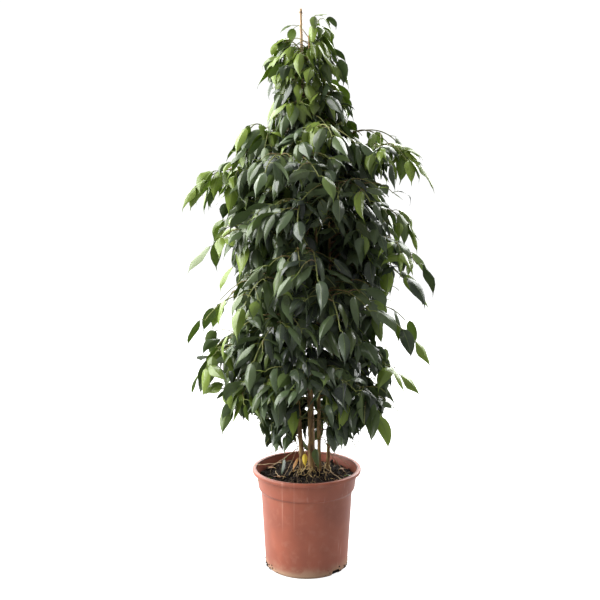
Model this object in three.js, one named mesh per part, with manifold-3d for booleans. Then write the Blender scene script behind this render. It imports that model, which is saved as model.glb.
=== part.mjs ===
// A weeping fig (Ficus benjamina) about 1.06 m tall, standing in a 21 cm nursery pot.
// Four rooted cuttings share the pot with a bamboo cane. Leafy sprays grow out of the four stems,
// arch over and weep, and every leaf hangs from its own stalk with a drawn-out drip tip.
// Millimetres, +Z up. The origin is the middle of the pot's flat base; -Y is the front.
import * as THREE from "three";
import { mergeVertices } from "three/addons/utils/BufferGeometryUtils.js";
import Module from "manifold-3d";

const wasm = await Module();
wasm.setup();
const { Manifold, Mesh: SolidMesh } = wasm;

// Driving dimensions

const SEED = 20417;
const CLEAR = 0.3; // gap between pieces that touch
const LEAST_OVERLAP = 1e-6; // cubic millimetres: below this two solids don't meet

const POT = {
  height: 195,
  rimRadius: 105,
  lipHeight: 8,
  lipRound: 2,
  collarTopRadius: 97,
  collarFootRadius: 93,
  collarFootZ: 156,
  bodyTopRadius: 88,
  stepHeight: 4,
  baseRadius: 80,
  baseBevel: 3,
  wall: 1.6,
  floor: 2.4,
  sides: 36,
  drains: 3,
  drainWidth: 19,
  drainHeight: 10,
  drainDepth: 14,
  firstDrainAngle: THREE.MathUtils.degToRad(-46),
};

const SOIL = {
  edgeZ: 176,
  moundHeight: 9,
  moundCentre: [14, 16],
  moundSpread: 46,
  crumb: 1.7,
  rings: [87, 66, 44, 22],
  wallGap: 0.5,
};

const CANE = {
  footZ: 14,
  topZ: 1058,
  foot: [20, 35],
  top: [-12, 12],
  radius: 3.4,
  taper: 0.11, // share of the radius lost by the top
  nodeSwell: 0.5,
  nodeLength: 3,
  nodeSpacing: 148,
  sides: 7,
};

// Each stem is a line from foot to top, bowed sideways like a half sine wave between them.
const STEM_FOOT_Z = 120;
const STEMS = [
  { name: "stem_left", foot: [-3, 20], top: [-40, 6], bow: [-5, 2], topZ: 850, radius: 4.8, tip: 1.7 },
  { name: "stem_middle", foot: [10, 9], top: [-15, -14], bow: [4, -5], topZ: 935, radius: 5.5, tip: 1.6 },
  { name: "stem_leader", foot: [25, 5], top: [3, -4], bow: [5, -2], topZ: 1006, radius: 3.9, tip: 1.4 },
  { name: "stem_right", foot: [40, 18], top: [39, 24], bow: [6, 3], topZ: 775, radius: 3.3, tip: 1.5 },
];
const STEM_SIDES = 7;
const STEM_SECTIONS = 9;
const FLARE = { height: 60, widen: 0.55 }; // root flare: how far it runs above the soil, and how much wider

// Reach of the leaf tips from the crown's axis, by height, at the plant's left and right.
const CROWN_AXIS_X = -2;
const LEFT_OUTLINE = [
  [215, 75], [267, 137], [325, 210], [422, 236], [500, 206], [603, 200], [660, 190],
  [722, 238], [765, 180], [800, 150], [830, 112], [860, 86], [935, 84], [985, 66], [1058, 16],
];
const RIGHT_OUTLINE = [
  [215, 90], [250, 152], [337, 202], [400, 228], [484, 230], [555, 240], [628, 220], [685, 196],
  [752, 230], [800, 205], [828, 122], [865, 96], [935, 76], [985, 54], [1030, 38], [1058, 18],
];

const SPRAYS = {
  count: 44,
  lowestTipZ: 272,
  highestTipZ: 1022,
  topCrowding: 0.86, // below 1 the sprays sit closer together towards the top
  lowestStartZ: 226,
  highestStartZ: 990,
  leafHang: 30, // a spray's leaves hang this far below its twig
  leafSpread: 36, // and reach this far beyond it
  reachShares: [0.9, 1.02],
  outlineReach: 1.03,
  shortestReach: 24,
  lift: { low: 26, high: -44, lowZ: 380, highZ: 860, spread: 16, perReach: 200, leastShare: 0.8 },
  headings: { choices: 24, turnWeight: 110, heightWeight: 1.3 },
  tries: 6,
  nudge: 9, // a spray that would meet another leaves its stem this much higher or lower
};
// Sprays that make the plant's left and right outline: a tip height, and a heading in degrees from +X.
const OUTLINE_SPRAYS = [
  [312, -24], [338, -146], [372, 6], [392, 187], [450, -12], [478, 172], [545, 12], [592, -8],
  [625, 190], [668, 4], [735, 184], [776, -10], [808, 14], [840, 200], [905, 6], [962, 176], [996, 158],
  [1022, 0],
];
const TWIG = {
  main: { sides: 3, sections: 5, thick: 2.1, thin: 1.3 },
  side: { sides: 3, sections: 2, thick: 1.4, thin: 1.2 },
  stemShare: 0.8, // no twig is thicker than this share of the stem that it leaves
  // how a main twig bends, as shares of its span: out and up from the stem, then over and down to the tip
  mainBend: { out: 0.34, rise: [0.34, 0.46], back: 0.2, weep: 0.3 },
  sideBend: { out: 0.35, rise: 0.18, back: 0.22, weep: 0.26, drop: 0.32 },
  sideStart: 0.4,
  sideShares: [0.42, 0.56], // a side twig's span over its main twig's
  sideTurns: [0.64, 1.0], // radians away from the main twig
  shortestSide: 26,
};
const LEAF = {
  lengths: [58, 76],
  slimness: 0.42, // width over length
  ridge: 2.3, // the blade's thickness at its midrib; it runs out thin to the edge
  stalk: 12,
  stalkRadius: 0.6,
  stalkRoot: 0.35,
  stalkRidge: 1.5, // the stalk's height over its half width
  // along the blade: share of the length, share of the half width, share of the ridge
  stations: [
    [0.2, 0.8, 0.9],
    [0.48, 1.0, 1.0],
    [0.8, 0.4, 0.75],
  ],
  mainSlots: [0.34, 0.5, 0.66, 0.82],
  sideSlots: [0.55],
  lastSlot: 0.985,
  // angles in radians
  swings: [0.55, 1.25], // from the twig's heading to the leaf's
  lastSwing: 0.15, // share of that for the leaf at a twig's tip
  falls: [0.58, 1.22], // below level, at the blade's foot
  bends: [0.25, 0.6], // more than that at its tip
  rolls: [-0.45, 0.45],
  stalkFall: { share: 0.35, less: 0.1 },
  clearance: 0.8,
  tries: 7,
  retrySwing: 0.5,
  retryFall: 0.12,
};

// Seeded draws, and small vector helpers

// A number from 0 to 1 that depends only on the seed and the whole numbers given.
function draw(...keys) {
  let h = SEED;
  for (const key of keys) {
    h = Math.imul((h ^ (key + 0x9e3779b9)) >>> 0, 0x85ebca6b) >>> 0;
    h = (h ^ (h >>> 13)) >>> 0;
    h = Math.imul(h, 0xc2b2ae35) >>> 0;
    h = (h ^ (h >>> 16)) >>> 0;
  }
  return h / 4294967296;
}

const between = (low, high, share) => low + (high - low) * share;
const vec = (x, y, z) => new THREE.Vector3(x, y, z);
const heading = (angle) => vec(Math.cos(angle), Math.sin(angle), 0);
const UP = vec(0, 0, 1);
const FRONT = vec(0, -1, 0);

// The value at x of a list of [x, value] points joined by straight lines.
function onOutline(outline, x) {
  if (x <= outline[0][0]) return outline[0][1];
  for (let i = 1; i < outline.length; i++) {
    const [x0, v0] = outline[i - 1];
    const [x1, v1] = outline[i];
    if (x <= x1) return between(v0, v1, (x - x0) / (x1 - x0));
  }
  return outline[outline.length - 1][1];
}

// Reach of the crown at a height and an angle: the left and right outlines, blended round the sides.
function crownReach(z, angle) {
  const rightShare = (1 + Math.cos(angle)) / 2;
  return between(onOutline(LEFT_OUTLINE, z), onOutline(RIGHT_OUTLINE, z), rightShare);
}

// Centre of a leaning, bowed pole at height z.
function poleCentre(pole, footZ, z) {
  const share = (z - footZ) / (pole.topZ - footZ);
  const bow = pole.bow ?? [0, 0];
  const swing = Math.sin(Math.PI * share);
  return vec(
    between(pole.foot[0], pole.top[0], share) + bow[0] * swing,
    between(pole.foot[1], pole.top[1], share) + bow[1] * swing,
    z,
  );
}

const stemCentre = (stem, z) => poleCentre(stem, STEM_FOOT_Z, z);

// Solids from three.js geometry

function solidOf(geometry) {
  const bare = geometry.clone();
  bare.deleteAttribute("normal");
  bare.deleteAttribute("uv");
  const merged = mergeVertices(bare, 1e-3);
  return new Manifold(
    new SolidMesh({
      numProp: 3,
      vertProperties: merged.attributes.position.array,
      triVerts: new Uint32Array(merged.index.array),
    }),
  );
}

function geometryOf(solid) {
  const made = solid.getMesh();
  const geometry = new THREE.BufferGeometry();
  geometry.setAttribute("position", new THREE.BufferAttribute(new Float32Array(made.vertProperties), 3));
  geometry.setIndex(new THREE.BufferAttribute(new Uint32Array(made.triVerts), 1));
  return geometry;
}

// A solid that joins equal rings of points, with flat ends. A last ring of one point closes to a tip.
function loft(rings) {
  const count = rings[0].length;
  const points = rings.flat();
  const faces = [];
  for (let k = 2; k < count; k++) faces.push(0, k, k - 1);
  for (let r = 0; r + 1 < rings.length; r++) {
    const a = r * count;
    const b = a + count;
    const pointed = rings[r + 1].length === 1;
    for (let k = 0; k < count; k++) {
      const next = (k + 1) % count;
      faces.push(a + k, a + next, pointed ? b : b + k);
      if (!pointed) faces.push(a + next, b + next, b + k);
    }
  }
  if (rings[rings.length - 1].length === count) {
    const end = (rings.length - 1) * count;
    for (let k = 2; k < count; k++) faces.push(end, end + k - 1, end + k);
  }
  const geometry = new THREE.BufferGeometry();
  geometry.setAttribute("position", new THREE.Float32BufferAttribute(points.flatMap((p) => p.toArray()), 3));
  geometry.setIndex(faces);
  return solidOf(geometry);
}

// A tapered tube along a list of points that lie in one plane, square to the direction given.
function tube(points, radii, sides, planeNormal) {
  const rings = points.map((point, i) => {
    const before = points[Math.max(i - 1, 0)];
    const after = points[Math.min(i + 1, points.length - 1)];
    const along = after.clone().sub(before).normalize();
    const over = along.clone().cross(planeNormal).normalize();
    const across = over.clone().cross(along);
    return Array.from({ length: sides }, (_, k) => {
      const angle = (2 * Math.PI * k) / sides;
      return point
        .clone()
        .addScaledVector(across, radii[i] * Math.cos(angle))
        .addScaledVector(over, radii[i] * Math.sin(angle));
    });
  });
  return loft(rings);
}

// Pot, soil, cane and stems

function lathe(profile) {
  const geometry = new THREE.LatheGeometry(
    profile.map(([r, z]) => new THREE.Vector2(r, z)),
    POT.sides,
  );
  return geometry.rotateX(Math.PI / 2);
}

function potSolid() {
  const p = POT;
  const top = p.height;
  const lipFoot = top - p.lipHeight;
  const profile = [
    [0, 0],
    [p.baseRadius - p.baseBevel, 0],
    [p.baseRadius, p.baseBevel],
    [p.bodyTopRadius, p.collarFootZ - p.stepHeight],
    [p.collarFootRadius, p.collarFootZ],
    [p.collarTopRadius, lipFoot],
    [p.rimRadius, lipFoot + 1],
    [p.rimRadius, top - p.lipRound],
    [p.rimRadius - p.lipRound, top],
    [p.collarTopRadius, top],
    [p.collarFootRadius - p.wall, p.collarFootZ + 1],
    [p.bodyTopRadius - p.wall, p.collarFootZ - p.stepHeight],
    [p.baseRadius - p.wall, p.floor],
    [0, p.floor],
  ];
  let pot = solidOf(lathe(profile));
  for (let i = 0; i < p.drains; i++) {
    const slot = new THREE.BoxGeometry(p.drainDepth, p.drainWidth, 2 * p.drainHeight);
    slot.translate(p.baseRadius, 0, 0);
    slot.rotateZ(p.firstDrainAngle + (i * 2 * Math.PI) / p.drains);
    pot = pot.subtract(solidOf(slot));
  }
  return pot;
}

// The soil's relief: low waves of four different lengths and directions.
function crumbs(x, y) {
  return (
    Math.sin(0.23 * x + 0.11 * y + 1) +
    Math.sin(0.17 * y - 0.21 * x) +
    0.8 * Math.sin(0.41 * x - 0.3 * y + 2) +
    0.6 * Math.sin(0.47 * y + 0.35 * x)
  );
}

function soilHeight(x, y) {
  const [moundX, moundY] = SOIL.moundCentre;
  const off = ((x - moundX) ** 2 + (y - moundY) ** 2) / SOIL.moundSpread ** 2;
  return SOIL.edgeZ + SOIL.moundHeight * Math.exp(-off) + SOIL.crumb * crumbs(x, y);
}

function soilSolid(poles) {
  const p = POT;
  const inset = p.wall + SOIL.wallGap;
  const foot = p.floor + CLEAR;
  const profile = [
    [0, foot],
    [p.baseRadius - inset, foot],
    [p.bodyTopRadius - inset, p.collarFootZ - p.stepHeight],
    [p.collarFootRadius - inset, p.collarFootZ + 1],
    ...SOIL.rings.map((r) => [r, SOIL.edgeZ]),
    [0, SOIL.edgeZ],
  ];
  const geometry = lathe(profile);
  const position = geometry.attributes.position;
  for (let i = 0; i < position.count; i++) {
    if (position.getZ(i) > SOIL.edgeZ - 1) {
      position.setZ(i, soilHeight(position.getX(i), position.getY(i)));
    }
  }
  let soil = solidOf(geometry);
  for (const pole of poles) soil = soil.subtract(pole);
  return soil;
}

// The cane: bamboo, a little thinner at its top, with a swollen ring at each joint.
function caneSolid(extra) {
  const c = CANE;
  const heights = [c.footZ - extra];
  for (let z = c.footZ + c.nodeSpacing; z < c.topZ - c.nodeLength; z += c.nodeSpacing) {
    heights.push(z - c.nodeLength, z, z + c.nodeLength);
  }
  heights.push(c.topZ + extra);
  const points = heights.map((z) => poleCentre(c, c.footZ, z));
  const radii = heights.map((z, i) => {
    const swell = i % 3 === 2 && i < heights.length - 1 ? c.nodeSwell : 0;
    return c.radius * (1 - (c.taper * z) / c.topZ) + swell + extra;
  });
  return tube(points, radii, c.sides, FRONT);
}

function stemRadius(stem, z) {
  const share = Math.max(0, (z - SOIL.edgeZ) / (stem.topZ - SOIL.edgeZ));
  const flare = FLARE.widen * Math.max(0, 1 - Math.abs(z - SOIL.edgeZ) / FLARE.height) ** 2;
  return between(stem.radius, stem.tip, share) * (1 + flare);
}

function stemSolid(stem, extra) {
  const heights = [STEM_FOOT_Z, SOIL.edgeZ + 4, SOIL.edgeZ + 26];
  for (let i = 1; i <= STEM_SECTIONS - 3; i++) {
    heights.push(between(SOIL.edgeZ + 26, stem.topZ, i / (STEM_SECTIONS - 3)));
  }
  heights[0] -= extra;
  heights[heights.length - 1] += extra;
  const points = heights.map((z) => stemCentre(stem, z));
  return tube(points, heights.map((z) => stemRadius(stem, z) + extra), STEM_SIDES, FRONT);
}

// The largest body of a solid: what is left of a twig once its stem is cut out of it has scraps beside it.
function largestBody(solid) {
  return solid.decompose().reduce((best, body) => (body.volume() > best.volume() ? body : best));
}

// Sprays: where each twig runs

function turnBetween(a, b) {
  const turn = Math.abs(a - b) % (2 * Math.PI);
  return Math.min(turn, 2 * Math.PI - turn);
}

// A tip height and a heading for every spray. The outline's sprays come first, each at the free height
// nearest its own. Every other spray takes the heading that lies furthest from the sprays around it.
function layOutSprays() {
  const laid = Array.from({ length: SPRAYS.count }, (_, i) => ({
    number: i,
    tipZ: between(SPRAYS.lowestTipZ, SPRAYS.highestTipZ, ((i + 0.5) / SPRAYS.count) ** SPRAYS.topCrowding),
    angle: null,
    outer: false,
  }));
  for (const [tipZ, degrees] of OUTLINE_SPRAYS) {
    const free = laid.filter((spray) => spray.angle === null);
    const off = (spray) => Math.abs(spray.tipZ - tipZ);
    const nearest = free.reduce((best, spray) => (off(spray) < off(best) ? spray : best));
    nearest.tipZ = tipZ;
    nearest.angle = THREE.MathUtils.degToRad(degrees);
    nearest.outer = true;
  }
  for (const spray of laid) {
    if (spray.angle !== null) continue;
    const others = laid.filter((other) => other.angle !== null);
    const { choices, turnWeight, heightWeight } = SPRAYS.headings;
    let widest = -1;
    for (let k = 0; k < choices; k++) {
      const angle = (2 * Math.PI * (k + draw(spray.number, k, 7))) / choices;
      const room = Math.min(
        ...others.map((other) =>
          Math.hypot(turnBetween(angle, other.angle) * turnWeight, (spray.tipZ - other.tipZ) * heightWeight),
        ),
      );
      if (room > widest) {
        widest = room;
        spray.angle = angle;
      }
    }
  }
  return laid;
}

// The stem that stands furthest out in a direction at a height: a spray leaves it without meeting another.
function stemFacing(z, direction) {
  const standing = STEMS.filter((stem) => stem.topZ > z + 8);
  return standing.reduce((best, stem) =>
    stemCentre(stem, z).dot(direction) > stemCentre(best, z).dot(direction) ? stem : best,
  );
}

function bezier(a, b, c, d, t) {
  const s = 1 - t;
  return a
    .clone()
    .multiplyScalar(s * s * s)
    .addScaledVector(b, 3 * s * s * t)
    .addScaledVector(c, 3 * s * t * t)
    .addScaledVector(d, t * t * t);
}

function twigLine(corners, sections) {
  const points = Array.from({ length: sections + 1 }, (_, i) => bezier(...corners, i / sections));
  const at = (t) => {
    const i = Math.min(Math.floor(t * sections), sections - 1);
    return points[i].clone().lerp(points[i + 1], t * sections - i);
  };
  return {
    at,
    points,
    alongAt: (t) => at(Math.min(1, t + 0.03)).sub(at(Math.max(0, t - 0.03))).normalize(),
  };
}

// A twig's four bending points: it leaves its start, rises, turns over and hangs down to its tip.
function twigCorners(start, tip, away, span, rise, bend) {
  return [
    start,
    start.clone().addScaledVector(away, bend.out * span).addScaledVector(UP, rise * span),
    tip.clone().addScaledVector(away, -bend.back * span).addScaledVector(UP, bend.weep * span),
    tip,
  ];
}

// A spray's main twig: out of its stem, up, over and down to its tip inside the crown's outline.
// A low spray leaves its stem a little above its tip, a high one well below it.
function mainTwig({ number, tipZ, angle, outer }, attempt) {
  const out = heading(angle);
  const reach = crownReach(tipZ - SPRAYS.leafHang, angle) - SPRAYS.leafSpread;
  const share = outer ? SPRAYS.outlineReach : between(...SPRAYS.reachShares, draw(number, 1));
  const full = Math.max(reach * share, SPRAYS.shortestReach);
  const tip = out.clone().multiplyScalar(full).add(vec(CROWN_AXIS_X, 0, tipZ));
  const { low, high, lowZ, highZ, spread, perReach, leastShare } = SPRAYS.lift;
  const height = THREE.MathUtils.clamp((tipZ - lowZ) / (highZ - lowZ), 0, 1);
  const scatter = spread * (draw(number, 2) - 0.5);
  const lift = (between(low, high, height) + scatter) * Math.max(full / perReach, leastShare);
  const nudge = SPRAYS.nudge * Math.ceil(attempt / 2) * (attempt % 2 === 0 ? 1 : -1);
  const startZ = THREE.MathUtils.clamp(tipZ + lift + nudge, SPRAYS.lowestStartZ, SPRAYS.highestStartZ);
  const stem = stemFacing(startZ, out);
  const start = stemCentre(stem, startZ);
  const span = Math.hypot(tip.x - start.x, tip.y - start.y);
  const away = tip.clone().sub(start).setZ(0).normalize();
  const rise = between(...TWIG.mainBend.rise, draw(number, 3));
  const corners = twigCorners(start, tip, away, span, rise, TWIG.mainBend);
  const thick = Math.min(TWIG.main.thick, TWIG.stemShare * stemRadius(stem, startZ));
  return { stem, line: twigLine(corners, TWIG.main.sections), span, away, form: { ...TWIG.main, thick } };
}

// A spray's side twig: it forks off to one side of the main twig, and weeps.
function sideTwig(main, number) {
  const start = main.line.at(TWIG.sideStart);
  const side = number % 2 === 0 ? 1 : -1;
  const away = main.away.clone().applyAxisAngle(UP, side * between(...TWIG.sideTurns, draw(number, 4)));
  const span = main.span * between(...TWIG.sideShares, draw(number, 5));
  const bend = TWIG.sideBend;
  const tip = start.clone().addScaledVector(away, span).addScaledVector(UP, -bend.drop * span);
  const corners = twigCorners(start, tip, away, span, bend.rise, bend);
  return { line: twigLine(corners, TWIG.side.sections), span, away, form: TWIG.side };
}

function twigSolid({ line, away, form }, extra) {
  const radii = line.points.map((_, i) => between(form.thick, form.thin, i / form.sections) + extra);
  return tube(line.points, radii, form.sides, away.clone().cross(UP));
}

// Leaves

// Where a leaf hangs: its root on the twig, the way it faces, and how steeply it falls.
function leafPose(line, t, swing, keys, attempt) {
  const flat = line.alongAt(t).setZ(0).normalize();
  const turn = swing * between(...LEAF.swings, draw(...keys, 11));
  const retry = (key) => attempt * (draw(...keys, attempt, key) - 0.5);
  return {
    root: line.at(t),
    out: flat.applyAxisAngle(UP, turn + LEAF.retrySwing * retry(12)),
    length: between(...LEAF.lengths, draw(...keys, 13)),
    fall: between(...LEAF.falls, draw(...keys, 14)) + LEAF.retryFall * retry(15),
    bend: between(...LEAF.bends, draw(...keys, 16)),
    roll: between(...LEAF.rolls, draw(...keys, 17)),
  };
}

// One leaf: a three-sided stalk that opens into a blade. The blade is a low roof: its ridge is the midrib.
// Its middle line is an arc that falls more and more steeply from the neck to the drip tip.
function leafSolid(pose, extra, bladeOnly) {
  const facing = (fall) => {
    const flat = pose.out.clone().multiplyScalar(Math.cos(fall));
    return flat.addScaledVector(UP, -Math.sin(fall));
  };
  const level = UP.clone().cross(pose.out).normalize();
  const stalkFall = pose.fall * LEAF.stalkFall.share - LEAF.stalkFall.less;
  const neck = pose.root.clone().addScaledVector(facing(stalkFall), LEAF.stalk);
  const ring = (centre, fall, half, ridge) => {
    const way = facing(fall);
    const across = level.clone().applyAxisAngle(way, pose.roll);
    const over = way.clone().cross(across);
    return [
      centre.clone().addScaledVector(across, half + extra).addScaledVector(over, -ridge / 2 - extra),
      centre.clone().addScaledVector(over, ridge / 2 + extra),
      centre.clone().addScaledVector(across, -half - extra).addScaledVector(over, -ridge / 2 - extra),
    ];
  };
  const onBlade = (t) => {
    const radius = pose.length / pose.bend;
    const end = pose.fall + pose.bend * t;
    return neck
      .clone()
      .addScaledVector(pose.out, radius * (Math.sin(end) - Math.sin(pose.fall)))
      .addScaledVector(UP, radius * (Math.cos(end) - Math.cos(pose.fall)));
  };
  const rings = [ring(neck, pose.fall, LEAF.stalkRadius, LEAF.stalkRidge * LEAF.stalkRadius)];
  if (!bladeOnly) {
    rings.unshift(ring(pose.root, stalkFall, LEAF.stalkRoot, LEAF.stalkRidge * LEAF.stalkRoot));
  }
  const halfWidth = (pose.length * LEAF.slimness) / 2;
  for (const [t, half, ridge] of LEAF.stations) {
    rings.push(ring(onBlade(t), pose.fall + pose.bend * t, half * halfWidth, ridge * LEAF.ridge));
  }
  rings.push([onBlade(1 + extra / pose.length)]);
  return loft(rings);
}

function boxesMeet(a, b) {
  return [0, 1, 2].every((k) => a.min[k] < b.max[k] && b.min[k] < a.max[k]);
}

function meets(solid, others) {
  const box = solid.boundingBox();
  const near = others.filter((other) => boxesMeet(box, other.box));
  return near.some((other) => solid.intersect(other.solid).volume() > LEAST_OVERLAP);
}

const boxed = (solid) => ({ solid, box: solid.boundingBox() });

// All the sprays' twigs. Each spray's wood has its stem and the cane cut out of it, so it sits against them.
function growTwigs(stems, standing, cutters) {
  const sprays = [];
  for (const laid of layOutSprays()) {
    const others = [...sprays.map((spray) => spray.grown), ...standing];
    const clearOf = (twig) => {
      const own = stems[STEMS.indexOf(twig.stem)];
      return !meets(twigSolid(twig, CLEAR), others.filter((other) => other !== own));
    };
    const choices = Array.from({ length: SPRAYS.tries }, (_, attempt) => mainTwig(laid, attempt));
    const main = choices.find(clearOf);
    if (!main) throw new Error("spray " + laid.number + " has no room");
    const side = sideTwig(main, laid.number);
    const forked = side.span > TWIG.shortestSide && clearOf(side);
    const twigs = forked ? [main, side] : [main];
    const join = (extra) => twigs.map((twig) => twigSolid(twig, extra)).reduce((a, b) => a.add(b));
    const wood = cutters.reduce((left, cutter) => left.subtract(cutter), join(0));
    const grown = boxed(join(CLEAR));
    sprays.push({ number: laid.number, twigs, wood: largestBody(wood), grown, leaves: [] });
  }
  return sprays;
}

// A leaf at every slot of every twig, turned aside by a few tries where it would meet anything else.
function hangLeaves(sprays, standing) {
  const hung = [];
  const hang = (spray, branch, slot, t, swing) => {
    const keys = [spray.number, branch, slot];
    const otherTwigs = sprays.filter((other) => other !== spray).map((other) => other.grown);
    for (let attempt = 0; attempt < LEAF.tries; attempt++) {
      const pose = leafPose(spray.twigs[branch].line, t, swing, keys, attempt);
      const blade = leafSolid(pose, LEAF.clearance, true);
      const whole = leafSolid(pose, LEAF.clearance / 2, false);
      if (meets(blade, [spray.grown, ...standing, ...hung])) continue;
      if (meets(whole, [...otherTwigs, ...hung])) continue;
      const leaf = leafSolid(pose, 0, false);
      spray.leaves.push(leaf);
      hung.push(boxed(leaf));
      return;
    }
  };
  for (const spray of sprays) {
    spray.twigs.forEach((_, branch) => {
      const slots = branch === 0 ? LEAF.mainSlots : LEAF.sideSlots;
      slots.forEach((t, slot) => hang(spray, branch, slot, t, (slot + branch) % 2 === 0 ? 1 : -1));
      hang(spray, branch, slots.length, LEAF.lastSlot, LEAF.lastSwing);
    });
  }
}

// Assembly

const plant = new THREE.Group();
plant.name = "weeping_fig";

function show(name, solid, colour, roughness) {
  const material = new THREE.MeshStandardMaterial({ color: colour, roughness, metalness: 0 });
  const mesh = new THREE.Mesh(geometryOf(solid), material);
  mesh.name = name;
  plant.add(mesh);
}

const COLOUR = {
  pot: 0xb2644e,
  soil: 0x33261d,
  cane: 0xc9a06c,
  bark: 0x8a6a42,
  leaf: 0x3f6a2a,
  youngLeaf: 0x7fa636,
};
const YOUNG_ABOVE = 0.8; // the share of the sprays, from the lowest, above which the growth is young and pale

const stems = STEMS.map((stem) => stemSolid(stem, 0));
const cane = caneSolid(0);
const pot = potSolid();
const cutters = [...STEMS.map((stem) => stemSolid(stem, CLEAR)), caneSolid(CLEAR)];
const soil = soilSolid(cutters);

show("pot", pot, COLOUR.pot, 0.55);
show("soil", soil, COLOUR.soil, 0.95);
show("cane", cane, COLOUR.cane, 0.5);
STEMS.forEach((stem, k) => show(stem.name, stems[k], COLOUR.bark, 0.8));

const stemBoxes = stems.map(boxed);
const standing = [...stemBoxes, ...[cane, pot, soil].map(boxed)];
const sprays = growTwigs(stemBoxes, standing, cutters);
hangLeaves(sprays, standing);
for (const spray of sprays) {
  const solid = spray.leaves.reduce((joined, leaf) => joined.add(leaf), spray.wood);
  const colour = spray.number > YOUNG_ABOVE * SPRAYS.count ? COLOUR.youngLeaf : COLOUR.leaf;
  show("spray_" + String(spray.number + 1).padStart(2, "0"), solid, colour, 0.4);
}

export default plant;
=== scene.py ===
"""Weeping fig in its nursery pot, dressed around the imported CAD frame.

The twigs and leaves of the part are regrown here by its own seeded rule and matched to its nodes.
Every leaf of the part becomes a thin veined blade in the same place, and finer twigs and more
leaves fill the crown. Metres, +Z up. The origin is the middle of the pot's flat base; -Y is the front.
"""
import logging
import math
from dataclasses import dataclass, field, fields
from enum import Enum
from functools import cache

import bpy
import numpy as np
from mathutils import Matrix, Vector


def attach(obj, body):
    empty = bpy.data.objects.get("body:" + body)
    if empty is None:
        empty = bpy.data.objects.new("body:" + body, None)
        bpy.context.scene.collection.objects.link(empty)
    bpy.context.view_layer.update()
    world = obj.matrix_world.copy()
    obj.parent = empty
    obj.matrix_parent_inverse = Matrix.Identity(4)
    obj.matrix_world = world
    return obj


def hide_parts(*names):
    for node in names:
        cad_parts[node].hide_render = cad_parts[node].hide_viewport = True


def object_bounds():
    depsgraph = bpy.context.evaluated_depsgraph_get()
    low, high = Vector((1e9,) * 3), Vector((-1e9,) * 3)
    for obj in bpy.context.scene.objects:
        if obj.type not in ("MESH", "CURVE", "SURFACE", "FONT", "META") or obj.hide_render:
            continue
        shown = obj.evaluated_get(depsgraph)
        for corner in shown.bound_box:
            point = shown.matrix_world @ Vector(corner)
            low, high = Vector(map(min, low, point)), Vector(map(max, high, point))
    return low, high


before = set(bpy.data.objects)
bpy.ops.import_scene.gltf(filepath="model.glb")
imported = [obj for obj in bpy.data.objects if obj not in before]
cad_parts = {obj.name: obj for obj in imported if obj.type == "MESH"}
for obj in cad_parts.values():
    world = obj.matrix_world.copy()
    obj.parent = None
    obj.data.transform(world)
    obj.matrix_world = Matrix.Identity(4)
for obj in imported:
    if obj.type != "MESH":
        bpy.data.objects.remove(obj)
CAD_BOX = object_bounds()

LOG = logging.getLogger("weeping_fig")

Array = np.ndarray
Number = float | Array
Rng = np.random.Generator
Range = tuple[float, float]
Place = tuple[float, float, float]
Colour = tuple[float, float, float, float]
Material, Object = bpy.types.Material, bpy.types.Object
Tree, Socket = bpy.types.NodeTree, bpy.types.NodeSocket
Sockets = bpy.types.bpy_prop_collection
Source = Socket | float | Colour

MM = 0.001
SEED = 20417
TURN = 2 * math.pi
UP = np.array([0.0, 0.0, 1.0])
FRONT = np.array([0.0, -1.0, 0.0])


# Seeded draws and small helpers


WORD = 0xFFFFFFFF
KEY_STEP, FIRST_MIX, SECOND_MIX = 0x9E3779B9, 0x85EBCA6B, 0xC2B2AE35


def draw(*keys: int) -> float:
    """A number from 0 to 1 that depends only on the seed and the whole numbers given, as in the part."""
    mixed = SEED
    for key in keys:
        mixed = ((mixed ^ (key + KEY_STEP)) * FIRST_MIX) & WORD
        mixed ^= mixed >> 13
        mixed = (mixed * SECOND_MIX) & WORD
        mixed ^= mixed >> 16
    return mixed / (WORD + 1)


def between(low: Number, high: Number, share: Number) -> Number:
    """The value a share of the way from low to high."""
    return low + (high - low) * share


def smooth(low: float, high: float, value: Number) -> Number:
    """0 below low, 1 above high, and a smooth S between them."""
    share = np.clip((np.asarray(value) - low) / (high - low), 0, 1)
    return share * share * (3 - 2 * share)


def heading(angle: Number) -> Array:
    """The level direction at an angle from +X."""
    angle = np.asarray(angle, float)
    return np.stack([np.cos(angle), np.sin(angle), np.zeros_like(angle)], -1)


def unit(vectors: Array) -> Array:
    """The vectors at length 1."""
    return vectors / np.maximum(np.linalg.norm(vectors, axis=-1, keepdims=True), 1e-12)


def turned(vectors: Array, axes: Array, angles: Number) -> Array:
    """Vectors turned about axes, by Rodrigues' formula.

    Args:
        vectors: What is turned.
        axes: Unit vectors to turn about.
        angles: How far, in radians.

    Returns:
        The turned vectors.
    """
    cosine = np.cos(angles)[..., None]
    sine = np.sin(angles)[..., None]
    along = np.sum(axes * vectors, -1, keepdims=True)
    return vectors * cosine + np.cross(axes, vectors) * sine + axes * along * (1 - cosine)


def ripple(points: Array, wavelength: float, seed: int, waves: int = 9) -> Array:
    """Smooth noise about -1 to 1: a sum of sine waves in random directions, near one wavelength.

    Args:
        points: Places, one row each.
        wavelength: Mean length of the waves, in metres.
        seed: Picks the directions, lengths and starts.
        waves: How many are summed.

    Returns:
        One number a point.
    """
    rng = np.random.default_rng(seed)
    ways = unit(rng.normal(size=(waves, 3))) * TURN / (wavelength * rng.uniform(0.6, 1.5, (waves, 1)))
    starts = rng.uniform(0, TURN, waves)
    return np.sin(points @ ways.T + starts).sum(-1) * math.sqrt(2 / waves) * 0.6


# Shells: closed surfaces as arrays


ANY_SEAM = 99
FOOT_POINT, TIP_POINT = 0.5, 0.8


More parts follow.
